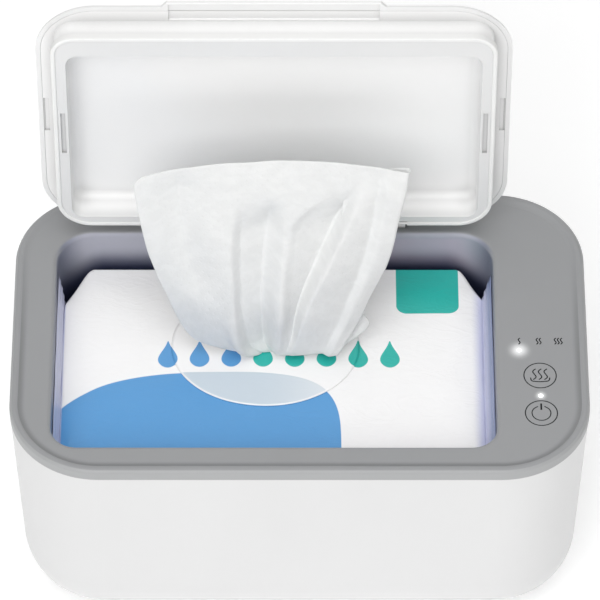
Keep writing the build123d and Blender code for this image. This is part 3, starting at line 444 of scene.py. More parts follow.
def deck_finish():
    """Satin grey deck: the walls of its mouth get painted lavender shade and a navy painted shadow,
    and two lights glow through it.
    """
    material, made, shader = finish("deck_grey", {"Emission Strength": GLOW_STRENGTH})
    place = made.place()
    x, y, z = made.in_mm(place)
    inset = made.math("MULTIPLY", outside_box(made, (x, y), (0, 0), DECK_HALF, DECK_ROUND), -1.0)
    skin = use(made, MOULDED, Vector=place, Tone=deck_tone(made, inset, y, z), Gloss=0.42,
               Grain=0.8, Reach=4.0)
    colour = made.colour(inside_mouth(made, x, y, z), skin["Color"], mouth_wall(made, x, z))
    glow = made.math("ADD", *[lamp_glow(made, place, centre, halo) for centre, halo in LIGHTS])
    light = made.colour(made.math("MINIMUM", glow, 1.0), BLACK, WHITE)
    feed(made, shader, Base_Color=colour, Roughness=skin["Roughness"], Emission_Color=light)
    bump(made, shader, skin["Height"], GRAIN_DEPTH)
    return material


def tank_finish():
    """Satin tub: its walls carry the painted shade of the mouth down beside the pack."""
    material, made, shader = finish("tank_grey", {})
    x, _, z = made.in_mm(made.place())
    moulded_skin(made, shader, mouth_wall(made, x, z), gloss=0.36, grain=0.4)
    return material


PAN_DEPTH = 6.0  # over which the lining's margin turns into its pan


def liner_finish():
    """Lining of the lid: painted light makes the floor of its pan a lighter white than its margin,
    which carries painted shade.
    """
    material, made, shader = finish("white_liner", {})
    _, y, _ = made.in_mm(made.place())
    lit_pan = made.step(y, LINER_FACE_Y, LINER_FACE_Y + PAN_DEPTH)
    tone = made.colour(lit_pan, SHADED_LINER_WHITE, LIT_PAN_WHITE)
    moulded_skin(made, shader, tone, gloss=0.30, grain=0.35, reach=11.0)
    return material


def heater_finish():
    """Amber polyimide film with an etched metal track that winds up and down."""
    material, made, shader = finish("heater_film", {"Roughness": 0.3})
    x, y, z = made.in_mm(made.place())
    wander = made.math("MULTIPLY", made.math("SINE", made.math("MULTIPLY", z, 0.9)), 0.4)
    lane = made.math("PINGPONG", made.math("ADD", made.math("ADD", x, y), wander), 2.0)
    track = made.step(lane, 0.85, 1.1)
    feed(made, shader, Base_Color=made.colour(track, AMBER_FILM, HEATER_TRACK),
         Metallic=made.math("MULTIPLY", track, 0.9))
    bump(made, shader, track, 0.04)
    return material


def foam_finish():
    """Closed-cell foam sheet."""
    material, made, shader = finish("foam", {"Roughness": 0.95})
    place = made.place()
    cells = made.add("TexVoronoi", {"Vector": place, "Scale": 900.0}).outputs["Distance"]
    tone = made.colour(made.noise(place, 60.0, detail=4.0), FOAM_DARK, FOAM_LIGHT)
    feed(made, shader, Base_Color=made.colour(made.step(cells, 0.0, 0.35), FOAM_CELL, tone))
    bump(made, shader, cells, 0.3)
    return material


PIN_PITCH = 2.54  # of the board's pads; the rows lie twice as far apart


def board_finish():
    """Green solder mask over copper tracks, with bare tinned pads in rows."""
    material, made, shader = finish("circuit_board", {"Roughness": 0.32})
    x, y, _ = made.in_mm(made.place())
    bend = made.math("PINGPONG", made.math("ADD", x, made.math("PINGPONG", y, 6.0)), 1.3)
    track = made.step(bend, 0.45, 0.6)
    pad_x = made.math("SUBTRACT", made.math("PINGPONG", x, PIN_PITCH), PIN_PITCH / 2)
    pad_y = made.math("SUBTRACT", made.math("PINGPONG", y, 2 * PIN_PITCH), PIN_PITCH)
    pad = made.step(made.length(pad_x, pad_y), 0.75, 0.65)
    mask = made.colour(track, SOLDER_MASK, MASKED_TRACK)
    feed(made, shader, Base_Color=made.colour(pad, mask, TINNED_PAD),
         Metallic=made.math("MULTIPLY", pad, 0.9))
    bump(made, shader, made.math("ADD", track, pad), 0.05)
    return material


def guide_finish():
    """Milky light pipe."""
    material, made, shader = finish("clear_guide", {"IOR": 1.49, "Transmission Weight": 0.6})
    haze = made.noise(made.place(), 500.0, detail=3.0)
    feed(made, shader, Base_Color=made.colour(haze, GUIDE_HAZE, GUIDE_CLEAR),
         Roughness=made.step(haze, 0.2, 0.8, 0.15, 0.4))
    return material


PACK_ENDS_X = ((-109.8, -110.8), (80.0, 86.5))  # its folded ends take their painted lavender shade between these
END_SHADE_X = (86.5, 89.0)  # the right end goes into the shade here
PACK_SIDES_Z = (PACK_TOP_Z - 4.0, PACK_TOP_Z - 9.0)


def pack_finish():
    """Glossy white film with its print; the folded ends and the sides get painted lavender shade,
    and the right end a darker painted shade.
    """
    material, made, shader = finish("pack_film", {"Coat Weight": 0.35, "Coat Roughness": 0.16})
    place = made.place()
    x, _, z = made.in_mm(place)
    printed = use(made, PRINTED, Vector=place, Film=FILM_WHITE)
    ends = made.math("MAXIMUM", *[made.step(x, *end) for end in PACK_ENDS_X])
    lavender_shade = made.math("MAXIMUM", ends, made.step(z, *PACK_SIDES_Z))
    colour = made.colour(lavender_shade, printed["Color"], FILM_PAINTED_LAVENDER)
    colour = made.colour(made.step(x, *END_SHADE_X), colour, FILM_SHADE)
    patchy = made.noise(place, 26.0, detail=3.0)
    feed(made, shader, Base_Color=colour,
         Roughness=made.step(patchy, *NOISE_SPREAD, 0.30, 0.42))
    bump(made, shader, use(made, CREASED, Vector=place, Depth=1.0)["Height"], 0.55)
    return material


FLAP_CLEAR_Y = (-6.8, -9.0)  # the flap is white behind these and clear in front of them
FLAP_FADE_X = (-20.0, 22.0)  # the print under it fades between these
FLAP_FADE = (1.0, 0.55)
FLAP_RIM, FLAP_RIM_WHITE = (0.97, 0.985), 0.8  # share of its radius, and how white it is


def flap_finish():
    """Milky peel flap: the print low on the pack shows pale through it, and its rim is white."""
    material, made, shader = finish("flap_film", {"Coat Weight": 0.3, "Coat Roughness": 0.2})
    place = made.place()
    x, y, _ = made.in_mm(place)
    out = made.length(*[made.math("DIVIDE", made.math("SUBTRACT", value, middle), radius)
                        for value, middle, radius in zip((x, y), FLAP_CENTRE, FLAP_RADII)])
    printed = use(made, PRINTED, Vector=place, Film=FILM_WHITE)
    low = made.step(y, *FLAP_CLEAR_Y)
    seen = made.math("MULTIPLY", made.math("MULTIPLY", printed["Ink"], low),
                     made.step(x, *FLAP_FADE_X, *FLAP_FADE))
    colour = made.colour(low, printed["Color"], FILM_WHITE)
    colour = made.colour(seen, colour, FLAP_TINT)
    rim = made.math("MULTIPLY", made.step(out, *FLAP_RIM, 0.0, FLAP_RIM_WHITE), low)
    colour = made.colour(rim, colour, FILM_WHITE)
    patchy = made.noise(place, 40.0, detail=3.0)
    feed(made, shader, Base_Color=colour,
         Roughness=made.step(patchy, *NOISE_SPREAD, 0.34, 0.44))
    bump(made, shader, use(made, CREASED, Vector=place, Depth=0.6)["Height"], 0.3)
    return material


DIAMONDS = (34.0, 22.0, 1.0)  # embossed diamonds along and up the cloth
DENT_SHARE = 0.6  # of the cloth's height, against its fibres


def wipe_finish():
    """Moist nonwoven: laid fibres and a faint embossed diamond pattern along the cloth."""
    material, made, shader = finish("wipe_cloth", {"Sheen Weight": 0.15, "Sheen Roughness": 0.5,
                                                   "Specular IOR Level": 0.3})
    flat = made.add("TexCoord").outputs["UV"]
    fibres = made.noise(made.stretch(flat, (0.35, 1.0, 1.0)), 420.0, detail=4.0, distortion=1.2)
    clumps = made.noise(flat, 22.0, detail=4.0, distortion=0.5)
    u, v, _ = made.split(made.stretch(flat, DIAMONDS))
    dent = made.squares(*[made.math("SUBTRACT", made.math("PINGPONG", slant, 1.0), 0.5)
                          for slant in (made.math("ADD", u, v), made.math("SUBTRACT", u, v))])
    dent = made.step(dent, 0.01, 0.05)
    colour = made.colour(made.step(clumps, 0.35, 0.7), WIPE_WHITE, WIPE_CLUMPS)
    feed(made, shader, Base_Color=colour, Roughness=made.step(clumps, *NOISE_SPREAD, 0.55, 0.8))
    bump(made, shader, made.math("ADD", fibres, made.math("MULTIPLY", dent, DENT_SHARE)), 0.10)
    return material


def ink_finish():
    """Dark pad-printed ink, a little worn where it is touched."""
    material, made, shader = finish("print_ink", {"Specular IOR Level": 0.15})
    worn = made.noise(made.place(), 900.0, detail=3.0)
    feed(made, shader, Base_Color=made.colour(made.step(worn, 0.55, 0.9), INK, WORN_INK),
         Roughness=made.step(worn, *NOISE_SPREAD, 0.38, 0.55))
    return material


def floor_finish():
    material, made, shader = finish("studio_floor", {
        "Roughness": 0.9, "Specular IOR Level": 0.1, "Emission Color": WHITE,
        "Emission Strength": 0.22})
    feed(made, shader, Base_Color=made.colour(made.noise(made.place(), 1.5), *FLOOR_TONES))
    return material


NODE_FINISHES = {
    moulded_plastic("white_body", SHADED_BODY_WHITE, gloss=0.34, grain=0.5): ["outer_body"],
    moulded_plastic("white_shell", WHITE_SHELL, gloss=0.34, grain=0.5, reach=10.0): [
        "lid_cover"],
    liner_finish(): ["lid_liner"],
    deck_finish(): ["deck"],
    tank_finish(): ["inner_tank"],
    rubber("white_silicone", WHITE_SILICONE): ["lid_seal"],
    rubber("black_rubber", BLACK_RUBBER): ["rubber_feet", "touch_pads"],
    turned_metal("steel", STEEL, gloss=0.26): ["body_screws", "deck_screws", "board_screws",
                                               "hinge_pins"],
    turned_metal("brass", BRASS, gloss=0.28): ["thermal_fuse", "inlet_nut"],
    heater_finish(): ["heating_belt", "heating_plate"],
    foam_finish(): ["insulation_jacket"],
    moulded_plastic("black_plastic", BLACK_PLASTIC, gloss=0.4, grain=0.8): [
        "temperature_sensor", "power_inlet"],
    board_finish(): ["control_board"],
    guide_finish(): ["indicator_leds", "light_guides"],
}
for material, names in NODE_FINISHES.items():
    for name in names:
        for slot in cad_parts[name].material_slots:
            slot.material = material


# ---------------------------------------------------------------- making pieces
def link_piece(name, mesh):
    piece = bpy.data.objects.new(name, mesh)
    bpy.context.scene.collection.objects.link(piece)
    return piece


def piece_from(bm, name, material):
    """Turns a bmesh into a smooth piece of the scene."""
    mesh = bpy.data.meshes.new(name)
    bm.to_mesh(mesh)
    bm.free()
    mesh.materials.append(material)
    for polygon in mesh.polygons:
        polygon.use_smooth = True
    return link_piece(name, mesh)


def settle(piece):
    """Puts what the modifiers give into the mesh itself."""
    bpy.context.view_layer.update()
    evaluated = piece.evaluated_get(bpy.context.evaluated_depsgraph_get())
    mesh = bpy.data.meshes.new_from_object(evaluated)
    piece.modifiers.clear()
    piece.data = mesh


def thicken(piece, thickness, offset):
    """Gives a single sheet its thickness in mm: offset 1 is all of it outwards, 0 half each way."""
    solid = piece.modifiers.new("Thickness", "SOLIDIFY")
    solid.thickness = thickness * MM
    solid.offset = offset


def subdivide_once(piece):
    smoothing = piece.modifiers.new("Smooth", "SUBSURF")
    smoothing.levels = smoothing.render_levels = 1


def ease(value, low, high):
    """Zero at low, one at high, smooth between them."""
    share = min(max((value - low) / (high - low), 0), 1)
    return share * share * (3 - 2 * share)


# ---------------------------------------------------------------- printed signs on the land
INK_HEIGHT = 0.04
RING_LINE, SIGN_LINE, POWER_ARC_LINE, POWER_BAR_LINE = 0.5, 0.54, 0.48, 0.8
HEAT_RING, POWER_RING = 7.45, 7.35  # radii of the rings round the keys
ink = ink_finish()


def drawn(name, strokes, width, centre):
    """Printed strokes, each (points in mm from the centre, closed or not), as thin raised ink."""
    curve = bpy.data.curves.new(name, "CURVE")
    curve.dimensions = "3D"
    curve.bevel_depth = width / 2 * MM
    curve.bevel_resolution = 2
    curve.resolution_u = 14
    curve.use_fill_caps = True
    for points, closed in strokes:
        spline = curve.splines.new("BEZIER")
        spline.bezier_points.add(len(points) - 1)
        spline.use_cyclic_u = closed
        for knot, (x, y) in zip(spline.bezier_points, points):
            knot.co = (x * MM, y * MM, 0)
            knot.handle_left_type = knot.handle_right_type = "AUTO"
    holder = bpy.data.objects.new(name, curve)
    mesh = bpy.data.meshes.new_from_object(holder)
    bpy.data.objects.remove(holder)
    flatten = Matrix.Diagonal((1, 1, INK_HEIGHT / (width / 2), 1))
    mesh.transform(Matrix.Translation((centre[0] * MM, centre[1] * MM, DECK_Z * MM)) @ flatten)
    mesh.materials.append(ink)
    mesh.name = name
    piece = link_piece(name, mesh)
    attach(piece, "base")


def ring(radius):
    return [(radius, 0), (0, radius), (-radius, 0), (0, -radius)], True


def wisp(x, low, high, half_width):
    """One S-shaped wisp of steam."""
    rise = (high - low) / 4
    sides = (0.8, -0.9, 0.0, 0.9, -0.8)
    return [(x + side * half_width, high - rise * i) for i, side in enumerate(sides)], False


HEAT_WISPS = [wisp(x, low=-2.5, high=4.0, half_width=0.78) for x in (-2.6, 0.0, 2.6)]
HEAT_TRAY = ([(-4.45, -1.3), (-3.9, -3.1), (-2.6, -3.5), (2.6, -3.5), (3.9, -3.1), (4.45, -1.3)],
             False)
drawn("heat_key_ring", [ring(HEAT_RING)], RING_LINE, HEAT_KEY)
drawn("heat_key_steam", HEAT_WISPS + [HEAT_TRAY], SIGN_LINE, HEAT_KEY)

POWER_ROUND, POWER_GAP = 4.3, 0.36  # radius of the open ring, half its opening in radians
ARC_STEPS = 8
turns = [POWER_GAP + (2 * math.pi - 2 * POWER_GAP) * i / ARC_STEPS for i in range(ARC_STEPS + 1)]
power_arc = [(POWER_ROUND * math.sin(turn), POWER_ROUND * math.cos(turn)) for turn in turns]
power_bar = [(0, 1.9), (0, 5.7)]
drawn("power_key_ring", [ring(POWER_RING)], RING_LINE, POWER_KEY)
drawn("power_key_arc", [(power_arc, False)], POWER_ARC_LINE, POWER_KEY)
drawn("power_key_bar", [(power_bar, False)], POWER_BAR_LINE, POWER_KEY)

WISP_PITCH = 1.4
for count, centre in enumerate(LEVEL_SIGNS, 1):
    wisps = [wisp((i - (count - 1) / 2) * WISP_PITCH, low=-1.9, high=1.9, half_width=0.42)
             for i in range(count)]
    drawn(f"level_sign_{count}", wisps, SIGN_LINE, centre)


# ---------------------------------------------------------------- film pack
PACK_SIDES, PACK_DEPTH, PACK_HEIGHT = (-112.2, 88.8), (-63.2, 54.9), (41.0, 103.0)
CORNER_CUT = (12.6, 21.4)  # folded-in corners at the back, in x and y
ROUNDEST = 6.0  # rounding of the pack's right top edge; the others have a share of it:
LEFT_ROUND, FRONT_ROUND, BACK_ROUND, LOW_ROUND = 0.3, 0.4, 0.12, 0.6
PACK_GRID = 5.0
FILM_PRESSURE = 4.0
FILM_SWELL = 1.0  # furthest that the film moves out
FILM_SETTLES = 20  # frames
STIFF_BACK = 14.0  # how far in from its back edge the film stays taut
RUMPLE, RUMPLE_LENGTH = 0.5, 28.0
MOUTH_GAP = 1.0  # from the film to the walls at both ends
CRIMPS = ((-110.6, -113.5), (85.6, 90.1))  # x of each crimped end, at its base and at its top
CRIMP_FRONT, CRIMP_BACK = -60.0, (35.7, 45.0)  # y of its ends; the back one slants
CRIMP_HEIGHT, CRIMP_ROWS = (99.5, 110.0), 4
CRIMP_THICKNESS = 0.3
CRIMP_BEND, CRIMP_TAUT = 1.4, 0.7  # how it bends up, and how much less uneven its top is
CRIMP_WAVE, CRIMP_UNEVEN, CRIMP_UNEVEN_LENGTH = 0.35, 0.5, 14.0


def edge_round(middle):
    """Share of the roundest edge that an edge of the block has, by where its middle is."""
    x, y, z = middle
    if z < PACK_HEIGHT[1] - 0.1:
        return LOW_ROUND
    if y > PACK_DEPTH[1] - 0.1:
        return BACK_ROUND
    if y < PACK_DEPTH[0] + 0.1:
        return FRONT_ROUND
    if x > PACK_SIDES[1] - 0.1:
        return 1.0
    return LEFT_ROUND


def pack_block():
    """The pack before it fills: a block with folded-in back corners and marked edges."""
    bm = bmesh.new()
    bmesh.ops.create_cube(bm, size=1.0)
    size = [high - low for low, high in (PACK_SIDES, PACK_DEPTH, PACK_HEIGHT)]
    middle = [(high + low) / 2 for low, high in (PACK_SIDES, PACK_DEPTH, PACK_HEIGHT)]
    bmesh.ops.scale(bm, vec=size, verts=bm.verts)
    bmesh.ops.translate(bm, vec=middle, verts=bm.verts)
    for side, x in ((-1, PACK_SIDES[0]), (1, PACK_SIDES[1])):
        corner = (x, PACK_DEPTH[1] - CORNER_CUT[1], 0)
        cut = bmesh.ops.bisect_plane(bm, geom=bm.verts[:] + bm.edges[:] + bm.faces[:],
                                     plane_co=corner, clear_outer=True,
                                     plane_no=(side * CORNER_CUT[1], CORNER_CUT[0], 0))
        rim = [edge for edge in cut["geom_cut"] if isinstance(edge, bmesh.types.BMEdge)]
        bmesh.ops.contextual_create(bm, geom=rim)
    share = bm.edges.layers.float.new("bevel_weight_edge")
    for edge in bm.edges:
        edge[share] = edge_round((edge.verts[0].co + edge.verts[1].co) / 2)
    return bm


def round_edges(piece):
    """Bevels the marked edges of the block."""
    rounding = piece.modifiers.new("Rounding", "BEVEL")
    rounding.width = ROUNDEST
    rounding.segments = 3
    rounding.limit_method = "WEIGHT"
    settle(piece)


def cut_in_squares(piece):
    """Divides the rounded block on an even grid, so that its film can bend, and scales it."""
    bm = bmesh.new()
    bm.from_mesh(piece.data)
    for axis, (low, high) in enumerate((PACK_SIDES, PACK_DEPTH, PACK_HEIGHT)):
        count = round((high - low) / PACK_GRID)
        for i in range(1, count):
            point, normal = [0, 0, 0], [0, 0, 0]
            point[axis] = low + (high - low) * i / count
            normal[axis] = 1
            bmesh.ops.bisect_plane(bm, geom=bm.verts[:] + bm.edges[:] + bm.faces[:],
                                   plane_co=point, plane_no=normal)
    bmesh.ops.remove_doubles(bm, verts=bm.verts, dist=0.05)
    bmesh.ops.recalc_face_normals(bm, faces=bm.faces)
    bmesh.ops.scale(bm, vec=(MM, MM, MM), verts=bm.verts)
    bm.to_mesh(piece.data)
    bm.free()


def film_slack(y):
    """Zero where the film is taut along its back edge, one where it is slack; y in mm."""
    return ease(y, PACK_DEPTH[1], PACK_DEPTH[1] - STIFF_BACK)


def fill(piece):
    """Blows the film up with a short cloth simulation; no point moves further than the swell."""
    rest = [vertex.co.copy() for vertex in piece.data.vertices]
    cloth = piece.modifiers.new("Film", "CLOTH")
    cloth.settings.use_pressure = True
    cloth.settings.uniform_pressure_force = FILM_PRESSURE
    cloth.settings.effector_weights.gravity = 0
    cloth.collision_settings.use_collision = False
    for step in range(1, FILM_SETTLES + 1):
        bpy.context.scene.frame_set(step)
    evaluated = piece.evaluated_get(bpy.context.evaluated_depsgraph_get())
    blown = [vertex.co.copy() for vertex in evaluated.data.vertices]
    piece.modifiers.remove(cloth)
    bpy.context.scene.frame_set(1)
    for vertex, before, after in zip(piece.data.vertices, rest, blown):
        move = after - before
        move.length = min(move.length, FILM_SWELL * MM * film_slack(before.y / MM))
        vertex.co = before + move


def rumple(piece):
    """Leaves the film uneven where it is slack, and keeps it off the walls at both ends."""
    for vertex in piece.data.vertices:
        place = vertex.co / MM
        uneven = noise.noise_vector(place / RUMPLE_LENGTH)
        vertex.co += RUMPLE * MM * film_slack(place.y) * uneven
        vertex.co.x = min(max(vertex.co.x, (MOUTH_X[0] + MOUTH_GAP) * MM),
                          (MOUTH_X[1] - MOUTH_GAP) * MM)


def crimped_end(base_x, top_x):
    """The flattened seal at one end of the pack, turned up along the wall of the mouth."""
    bm = bmesh.new()
    bmesh.ops.create_grid(bm, x_segments=CRIMP_ROWS * 4, y_segments=40, size=0.5)
    for vertex in bm.verts:
        up, along = vertex.co.x + 0.5, vertex.co.y + 0.5
        back = CRIMP_BACK[0] + (CRIMP_BACK[1] - CRIMP_BACK[0]) * up
        y = CRIMP_FRONT + (back - CRIMP_FRONT) * along
        wave = CRIMP_WAVE * math.sin(up * CRIMP_ROWS * 2 * math.pi)
        uneven = noise.noise(Vector((base_x, y / CRIMP_UNEVEN_LENGTH, up)))
        lean = wave + CRIMP_UNEVEN * uneven
        x = base_x + (top_x - base_x) * up**CRIMP_BEND
        z = CRIMP_HEIGHT[0] + (CRIMP_HEIGHT[1] - CRIMP_HEIGHT[0]) * up
        vertex.co = (x + lean * (1 - CRIMP_TAUT * up), y, z)
    bmesh.ops.solidify(bm, geom=bm.faces[:], thickness=CRIMP_THICKNESS)
    bmesh.ops.scale(bm, vec=(MM, MM, MM), verts=bm.verts)
    return bm


def add_crimps(piece):
    """Joins both crimped ends to the pack."""
    whole = bmesh.new()
    whole.from_mesh(piece.data)
    for base_x, top_x in CRIMPS:
        end = crimped_end(base_x, top_x)
        flat = bpy.data.meshes.new("crimp")
        end.to_mesh(flat)
        end.free()
        whole.from_mesh(flat)
        bpy.data.meshes.remove(flat)
    whole.to_mesh(piece.data)
    whole.free()
    for polygon in piece.data.polygons:
        polygon.use_smooth = True


film_pack = piece_from(pack_block(), "film_pack", pack_finish())
round_edges(film_pack)
cut_in_squares(film_pack)
fill(film_pack)
rumple(film_pack)
subdivide_once(film_pack)
settle(film_pack)
add_crimps(film_pack)
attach(film_pack, "base")
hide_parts("wipes_pack")


# ---------------------------------------------------------------- peel flap
FLAP_LIFT, FLAP_THICKNESS = 0.25, 0.3  # the glue under the flap, and its film
FLAP_SEGMENTS = 48


def flap_disc():
    """A flat ellipse with an even grid on it."""
    bm = bmesh.new()
    bmesh.ops.create_grid(bm, x_segments=FLAP_SEGMENTS, y_segments=FLAP_SEGMENTS, size=1.0)
    for vertex in bm.verts:
        x, y = vertex.co.x, vertex.co.y
        vertex.co.x = x * math.sqrt(1 - y * y / 2) * FLAP_RADII[0] * MM
        vertex.co.y = y * math.sqrt(1 - x * x / 2) * FLAP_RADII[1] * MM
    bmesh.ops.translate(bm, vec=(FLAP_CENTRE[0] * MM, FLAP_CENTRE[1] * MM, 0), verts=bm.verts)
    return bm


film_surface = BVHTree.FromPolygons([vertex.co for vertex in film_pack.data.vertices],
                                    [polygon.vertices for polygon in film_pack.data.polygons])


def film_height(x, y):
    """Top of the film at a point of the pack, in metres."""
    well_above = Vector((x, y, 0.2))
    hit = film_surface.ray_cast(well_above, Vector((0, 0, -1)))[0]
    return hit.z if hit else PACK_TOP_Z * MM


peel_flap = piece_from(flap_disc(), "peel_flap", flap_finish())
for vertex in peel_flap.data.vertices:
    vertex.co.z = film_height(vertex.co.x, vertex.co.y) + FLAP_LIFT * MM
thicken(peel_flap, FLAP_THICKNESS, offset=1.0)
settle(peel_flap)
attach(peel_flap, "base")
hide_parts("pack_flap")

# ---------------------------------------------------------------- pulled wipe
WIPE_COLUMNS, WIPE_ROWS = 150, 64
WIPE_THICKNESS = 0.35
WIPE_GUIDES = [  # share up, then the left edge, the middle and the right edge of the front ply
    (0.00, (-26.0, 6.0, 104.2), (-8.0, 6.0, 104.2), (10.0, 6.0, 104.2)),
    (0.04, (-31.0, 3.0, 104.6), (-8.0, 1.0, 104.3), (14.0, 3.0, 104.5)),
    (0.09, (-39.5, 1.0, 110.1), (-11.5, -4.0, 109.9), (16.0, -2.0, 110.1)),
    (0.15, (-48.3, 1.5, 113.9), (-11.5, -5.5, 118.5), (19.0, 0.0, 116.3)),
    (0.25, (-55.1, 4.0, 122.4), (-12.3, -4.0, 133.1), (25.0, 5.0, 124.8)),
    (0.40, (-61.9, 9.0, 137.9), (-12.8, 3.0, 148.3), (32.5, 11.0, 139.8)),
    (0.60, (-69.5, 16.5, 155.3), (-13.2, 13.5, 166.3), (39.4, 17.0, 154.7)),
    (0.80, (-73.9, 24.0, 173.2), (-13.2, 24.5, 183.7), (44.7, 25.0, 175.6)),
    (1.00, (-76.8, 32.0, 192.4), (-13.1, 35.0, 200.9), (49.1, 33.0, 195.7)),
]
FRONT_SHARE, TURN_SHARE = 0.76, 0.04  # of the cloth's width, before the turn and in it
FLARE_SHARE = 0.12  # of its width behind the turn, which sticks out near the foot
TURN_RADIUS, TURN_WIDER = 1.6, 1.2  # of the turn, and how much it opens near the foot
FLARE_OUT, FLARE_BACK, FLARE_DOWN = 15.0, 4.0, 2.0
WIDER_AT, OUT_AT, BACK_AT = (0.2, 0.12), (0.19, 0.09), (0.2, 0.14)  # share up, and how far round it
BACK_PLY = 1.1  # how fast the ply behind runs back, against the front one
DROOP, DROOP_SHARE = 0.035, 0.05  # of the top left corner, and the width that it takes
CLOTH_UNEVEN, CLOTH_UNEVEN_LENGTH = 0.35, 12.0
FLAP_TOP_Z = 104.7  # the foot stays above this

# the folds: how far each brings the cloth forward at its most, or back where less than zero
FIRST_FOLD, SECOND_FOLD, PAST_RIDGE = -9.4, -7.8, 3.2
LEFT_EDGE, RIGHT_EDGE = -3.5, 3.6
FOOT_TUCK, FOOT_GATHERS, GATHERS_RATE = 3.0, 1.4, 120
TOP_FLATTENS = 0.85  # share of the folds that is gone at the top edge


def follow(knots, at):
    """The smooth line through the knots, at one place along it."""
    last = len(knots) - 1
    span = next((i for i in range(last) if at < knots[i + 1][0]), last - 1)
    (x0, y0), (x1, y1) = knots[span], knots[span + 1]
    before, after = knots[max(span - 1, 0)], knots[min(span + 2, last)]
    slope0 = (y1 - before[1]) / (x1 - before[0])
    slope1 = (after[1] - y0) / (after[0] - x0)
    t = min(max((at - x0) / (x1 - x0), 0), 1)  # share of the span
    bow = (2 * t**3 - 3 * t**2 + 1) * y0 + (3 * t**2 - 2 * t**3) * y1
    return bow + (x1 - x0) * ((t**3 - 2 * t**2 + t) * slope0 + (t**3 - t**2) * slope1)


def guide(line, up):
    """The point of one guide line at a share up."""
    return Vector([follow([(row[0], row[line][axis]) for row in WIPE_GUIDES], up)
                   for axis in range(3)])


def hump(value, middle, half):
    """One at the middle, and less to both sides of it."""
    return math.exp(-((value - middle) / half) ** 2)


def slope(value, start, end):
    """Zero at the start, one at the end, and even between them but for a soft start."""
    share = min(max((value - start) / (end - start), 0), 1)
    return share * (0.35 + 0.65 * share) if share < 1 else 1


def wipe_folds(front, up):
    """How far the folds bring the front ply forward, in mm.

    Each fold is a depth, a profile across the ply and the part of its height that it takes.
    """
    crease = 0.26 + 0.13 * min(up, 0.78)
    first = (0.4 * ease(front, crease - 0.01, crease + 0.04)
             + 0.6 * slope(front, crease, crease + 0.14)
             - ease(front, crease + 0.13, crease + 0.25))
    forward = FIRST_FOLD * first * ease(up, 0.84, 0.62) * ease(up, 0.02, 0.12)

    ridge = 0.60 + 0.28 * up
    bend = min(0.56 + 3.0 * max(up - 0.6, 0) ** 2, ridge - 0.11)
    over_ridge = ease(front, ridge - 0.03, ridge + 0.01)
    second = (0.3 * ease(front, bend - 0.02, bend + 0.05)
              + 0.7 * slope(front, bend, ridge - 0.03) - over_ridge)
    forward += SECOND_FOLD * second * ease(up, 0.92, 0.66) * ease(up, 0.05, 0.25)
    third = over_ridge - slope(front, ridge + 0.01, 0.91)
    forward += PAST_RIDGE * third * ease(up, 0.25, 0.50) * ease(up, 0.96, 0.75)

    forward += RIGHT_EDGE * ease(front, 0.90, 0.955) * ease(up, 0.02, 0.12)
    left = slope(front, 0.02, 0.15) - ease(front, 0.15, 0.30)
    forward += LEFT_EDGE * left * ease(up, 0.30, 0.5)
    forward += FOOT_TUCK * hump(front, crease - 0.03, 0.035) * hump(up, 0.14, 0.10)
    forward += (FOOT_GATHERS * math.sin(front * GATHERS_RATE) * hump(front, 0.25, 0.05)
                * hump(up, 0.075, 0.04))
    return forward * (1 - TOP_FLATTENS * ease(up, 0.88, 1.0))


def behind_turn(across, up, ply_width):
    """How far aside, back and down a point lies that is round the turn or on the ply behind it."""
    turn = TURN_RADIUS + TURN_WIDER * hump(up, *WIDER_AT)
    along = min((across - FRONT_SHARE) / TURN_SHARE, 1)
    behind = max(across - FRONT_SHARE - TURN_SHARE, 0)
    flare = FLARE_OUT * hump(up, *OUT_AT) * math.sin(math.pi * min(behind / FLARE_SHARE, 1))
    out = ease(behind, 0, FLARE_SHARE)
    return (turn * math.sin(math.pi * along) + flare - behind * ply_width * BACK_PLY,
            turn * (1 - math.cos(math.pi * along)) + FLARE_BACK * hump(up, *BACK_AT) * out,
            FLARE_DOWN * out)


def wipe_point(across, up):
    """Where a point of the flat cloth hangs: across and up run from 0 to 1."""
    front = min(across / FRONT_SHARE, 1)
    up -= DROOP * up**6 * max(1 - front / DROOP_SHARE, 0) ** 2
    left, middle, right = guide(1, up), guide(2, up), guide(3, up)
    point = (left * (2 * front - 1) * (front - 1) + middle * 4 * front * (1 - front)
             + right * front * (2 * front - 1))
    point.y -= wipe_folds(front, up)
    if across > FRONT_SHARE:
        aside, back, down = behind_turn(across, up, right.x - left.x)
        point.x += aside
        point.y += back
        point.z -= down
    point += CLOTH_UNEVEN * noise.noise_vector(point / CLOTH_UNEVEN_LENGTH)
    point.z = max(point.z, FLAP_TOP_Z)
    return point


def wipe_cloth():
    """The cloth in its folds, as a single sheet with its flat place as its UV map."""
    bm = bmesh.new()
    bm.loops.layers.uv.new("UVMap")
    bmesh.ops.create_grid(bm, x_segments=WIPE_COLUMNS, y_segments=WIPE_ROWS, size=0.5,
                          calc_uvs=True)
    for vertex in bm.verts:
        vertex.co = wipe_point(vertex.co.x + 0.5, vertex.co.y + 0.5) * MM
    return bm


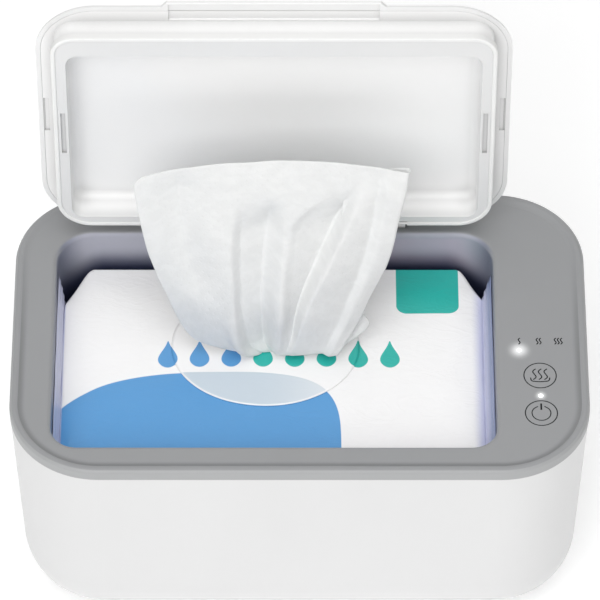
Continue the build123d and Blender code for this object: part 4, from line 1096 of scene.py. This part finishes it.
pulled_wipe = piece_from(wipe_cloth(), "soft_wipe", wipe_finish())
thicken(pulled_wipe, WIPE_THICKNESS, offset=0.0)
subdivide_once(pulled_wipe)
settle(pulled_wipe)
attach(pulled_wipe, "base")
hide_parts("pulled_wipe")
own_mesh(pulled_wipe)


# ---------------------------------------------------------------- studio
SKY_LOW, SKY_HIGH, SKY_FLANK = 0.49, 0.75, 0.32  # strengths, and the share left at both sides
CAMERA_LENS = 328.37
CAMERA_PLACE = (0.00064, -1.6521, 2.0512)
CAMERA_TILT, CAMERA_ROLL = math.radians(40.901), 0.0003

floor_mesh = bmesh.new()
bmesh.ops.create_grid(floor_mesh, x_segments=2, y_segments=2, size=3.0)
floor = piece_from(floor_mesh, "studio_floor", floor_finish())


def soft_light(name, power, size, place):
    """A soft panel that faces the warmer."""
    light = bpy.data.lights.new(name, "AREA")
    light.energy = power
    light.shape = "RECTANGLE"
    light.size, light.size_y = size
    lamp = bpy.data.objects.new(name, light)
    lamp.location = place
    to_warmer = Vector((0, 0, 0.1)) - lamp.location
    lamp.rotation_euler = to_warmer.to_track_quat("-Z", "Y").to_euler()
    bpy.context.scene.collection.objects.link(lamp)


soft_light("key_light", power=18.5, size=(1.8, 1.2), place=(-0.7, -1.9, 1.6))
soft_light("top_light", power=20.0, size=(2.0, 2.0), place=(0.0, -0.9, 2.3))

world = bpy.data.worlds.new("studio")
world.use_nodes = True
sky = Nodes(world.node_tree)
side, _, height = sky.split(sky.add("TexCoord").outputs["Generated"])
flank = sky.step(sky.math("ABSOLUTE", side), 0.35, 0.95, 1.0, SKY_FLANK)
bright = sky.math("MULTIPLY", sky.step(height, -0.1, 1.0, SKY_LOW, SKY_HIGH), flank)
background = world.node_tree.nodes["Background"]
background.inputs["Color"].default_value = WHITE
world.node_tree.links.new(bright, background.inputs["Strength"])
bpy.context.scene.world = world
bpy.context.scene.view_settings.view_transform = "Standard"

camera = bpy.data.objects.new("camera", bpy.data.cameras.new("camera"))
camera.data.lens = CAMERA_LENS
camera.location = CAMERA_PLACE
camera.rotation_euler = (CAMERA_TILT, 0, CAMERA_ROLL)
bpy.context.scene.collection.objects.link(camera)
bpy.context.scene.camera = camera
